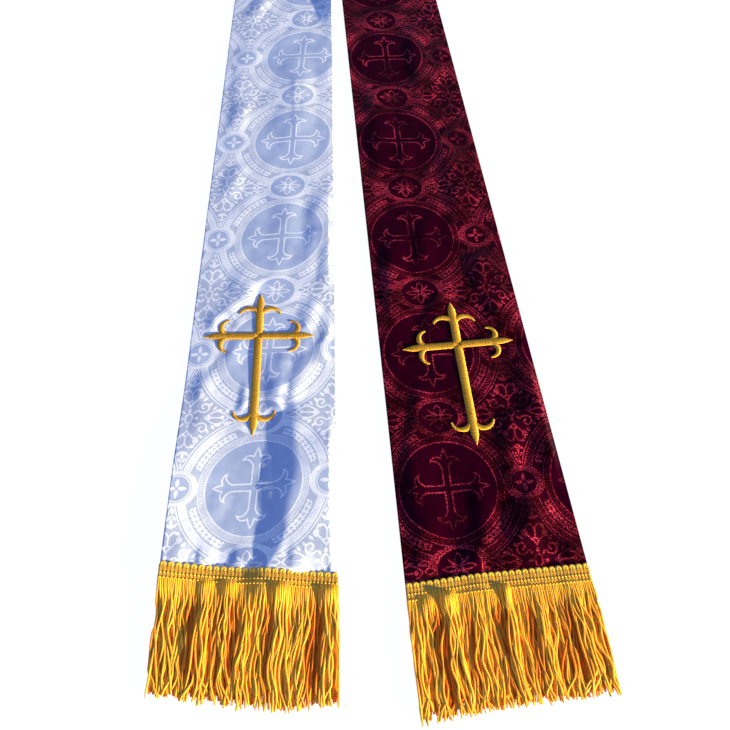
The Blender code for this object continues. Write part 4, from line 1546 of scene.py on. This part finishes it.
# %% Hang the fringes from their headings
def fringe_strand(leg, layer, across, tuft, rng):
    """One strand as a tube from under the stitches to its free end."""
    lock = min(LOCKS[leg.name], key=lambda it: abs(it.across - across) / it.half)
    share = np.linspace(0, 1, layer.stations)
    length = strand_length(leg, layer, across, tuft, rng)
    aside = strand_drift(leg, layer, lock, across, tuft, share, rng)
    base = heading_place(leg, across, UPPER_STITCHES + layer.root * MM, 0.0)
    axis = cross_axis(leg)
    x = base[0] - axis[0] * length * share + axis[1] * aside
    y = base[1] - axis[1] * length * share - axis[0] * aside
    z = strand_height(layer, lock, across, base[2], share, rng)
    radius = rng.uniform(0.78, 1.0) * layer.thick * MM
    radius = radius * np.interp(share, [0, 0.05, 0.96, 1], [0.85, 1, 1, 0.7])
    radius = radius * (1 + 0.12 * np.sin(rng.uniform(0, 6.28) + 22 * share))
    return tube(np.stack([x, y, z], -1), (radius, radius * 0.8), sides=layer.sides)


def painted_lock_shade(leg, across):
    """How much painted shade a strand gets on the left of a high lock, from 0 to 1."""
    painted_shade = 0.0
    for lock in LOCKS[leg.name]:
        reach = 0.02 + 0.022 * lock.high  # the lamp stands low on the right
        off = (lock.across - lock.half * 0.5 - reach / 2 - across) / (reach / 2 + 0.012)
        painted_shade = max(painted_shade, min(1.0, lock.high / 2.2) * max(0.0, 1 - off**2))
    return painted_shade


TUFT_GAPS = (0.03, 0.06)  # least and most between two tufts, in shares of the width
JITTER = 0.15  # of a strand's place in its row
# random spread of a strand's tone, and how far painted shade takes it down
TONE_SPREAD, SHADE = 0.35, 0.9


def fringe(leg, material):
    """All strands of a leg, layer by layer, gathered here and there into tufts."""
    rng = random.Random(leg.seed)
    tufts = [-0.5]
    while tufts[-1] < 0.5:
        tufts.append(tufts[-1] + rng.uniform(*TUFT_GAPS))
    strands, tones = [], []
    for layer in (LOW, MID, TOP):
        count = layer.strands or 4 * leg.picots
        for i in range(count):
            across = (i + 0.5 + rng.uniform(-JITTER, JITTER)) / count - 0.5
            tuft = min(tufts, key=lambda at: abs(at - across))
            strands.append(fringe_strand(leg, layer, across, tuft, rng))
            share = np.linspace(0, 1, layer.stations)
            painted_shade = painted_lock_shade(leg, across) * smooth(share, 0.06, 0.35)
            painted_shade = painted_shade * smooth(1.05 - share, 0, 0.35)
            tone = layer.tone + TONE_SPREAD * rng.random() - SHADE * painted_shade
            tones.append(np.repeat(tone, layer.sides))
    piece = joined_mesh(f"{leg.name}_fringe_strands", strands, material, closed=True)
    spots = piece.data.attributes.new("tone", "FLOAT", "POINT")
    spots.data.foreach_set("value", np.concatenate(tones).astype(np.float32))
    return piece


gold_rayon = gold(
    "gold_rayon", (226, 108, 2), (255, 184, 54), Roughness=0.5, Specular_Tint=WARM_HIGHLIGHTS,
    Subsurface_Weight=0.25, Subsurface_Radius=(1, 0.42, 0.08), Subsurface_Scale=2.5 * MM,
)
headings, fringes = {}, {}
for leg in LEGS:
    headings[leg.name] = heading(leg, gold_cord, gold_tape)
    fringes[leg.name] = fringe(leg, gold_rayon)

# %% [markdown]
# ## Floor, light and camera
# The stole lies on a plain pale floor. One low lamp from the front right rakes across the
# cloth, so that each crease has a lit flank and a blue one, and the pale surroundings fill
# the shadows. The camera stands over the hems and looks along the legs.

# %% Lay the floor and light it
FLOOR_DEPTH = 0.2 * MM  # under the lowest cloth
FLOOR_REACH = 9.0
AIMED_AT = Vector((-0.09, -0.52, 0))
LAMP_DISTANCE = 4.0
LAMP_SIZE = 0.17
LAMP_STRENGTH = 11.3
TOWARDS_LAMP = Vector((0.75, -0.45, 0.205)).normalized()


def add_floor():
    reach = FLOOR_REACH
    corners = [(-reach, -reach), (reach, -reach), (reach, reach), (-reach, reach)]
    mesh = bpy.data.meshes.new("floor")
    mesh.from_pydata([(x, y, -FLOOR_DEPTH) for x, y in corners], [], [(0, 1, 2, 3)])
    material, nodes, _ = new_material("pale_floor")
    set_inputs(
        nodes["Principled BSDF"], Base_Color=(0.06, 0.06, 0.06, 1), Roughness=0.9,
        Specular_IOR_Level=0.0, Emission_Color=(1, 1, 1, 1), Emission_Strength=0.97,
    )
    mesh.materials.append(material)
    return placed("floor", mesh)


add_floor()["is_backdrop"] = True

lamp = bpy.data.lights.new("low_lamp", "AREA")
lamp.shape = "DISK"
lamp.size = LAMP_SIZE
lamp.energy = LAMP_STRENGTH * math.pi * LAMP_DISTANCE**2
lamp.color = (1.0, 0.86, 0.48)
lamp_object = placed("low_lamp", lamp)
lamp_object.location = AIMED_AT + LAMP_DISTANCE * TOWARDS_LAMP
lamp_object.rotation_euler = TOWARDS_LAMP.to_track_quat("Z", "Y").to_euler()

world = bpy.data.worlds.new("surroundings")
world.use_nodes = True
set_inputs(world.node_tree.nodes["Background"], Color=(0.30, 0.46, 0.90, 1), Strength=0.8)
bpy.context.scene.world = world
print(f"the lamp stands {math.degrees(math.asin(TOWARDS_LAMP.z)):.0f} degrees high")

# %% [markdown]
# The camera looks down at the hems steeply enough to see both crosses whole, and flat enough
# for the legs to run away from it.

# %% Place the camera
CAMERA_AT = (-0.0102, -0.7666, 0.5909)
CAMERA_DOWN = 58.656  # degrees below the horizon
FOCAL_PIXELS, FRAME_PIXELS = 860, 730
camera = bpy.data.cameras.new("camera")
camera.sensor_width = 36
camera.lens = camera.sensor_width * FOCAL_PIXELS / FRAME_PIXELS
camera_object = placed("camera", camera)
camera_object.location = CAMERA_AT
camera_object.rotation_euler = (math.radians(90 - CAMERA_DOWN), 0, 0)
bpy.context.scene.camera = camera_object
bpy.context.scene.view_settings.view_transform = "Standard"
print(f"lens: {camera.lens:.1f} mm")

# %% [markdown]
# ## What stands for which solid
# Every piece rides on the one body and hides the solid that it stands for.

for leg in LEGS:
    cross = crosses[leg.name]
    strands, (cords, braid, tape) = fringes[leg.name], headings[leg.name]
    for piece in (cross, strands, cords, braid, tape):
        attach(piece, "root")
    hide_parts(f"cross_{leg.name}")
    for piece in (strands, cords, braid, tape):
        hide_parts(f"fringe_{leg.name}")
    for upper in (True, False):
        ply = plies[leg.name, upper]
        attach(ply, "root")
        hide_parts(f"{leg.name}_leg_{'top' if upper else 'back'}")

boxes = {"cad": cad_box, "visual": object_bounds()}
for name, (low, high) in boxes.items():
    print(name, [round((b - a) * 1000, 1) for a, b in zip(low, high)], "mm")
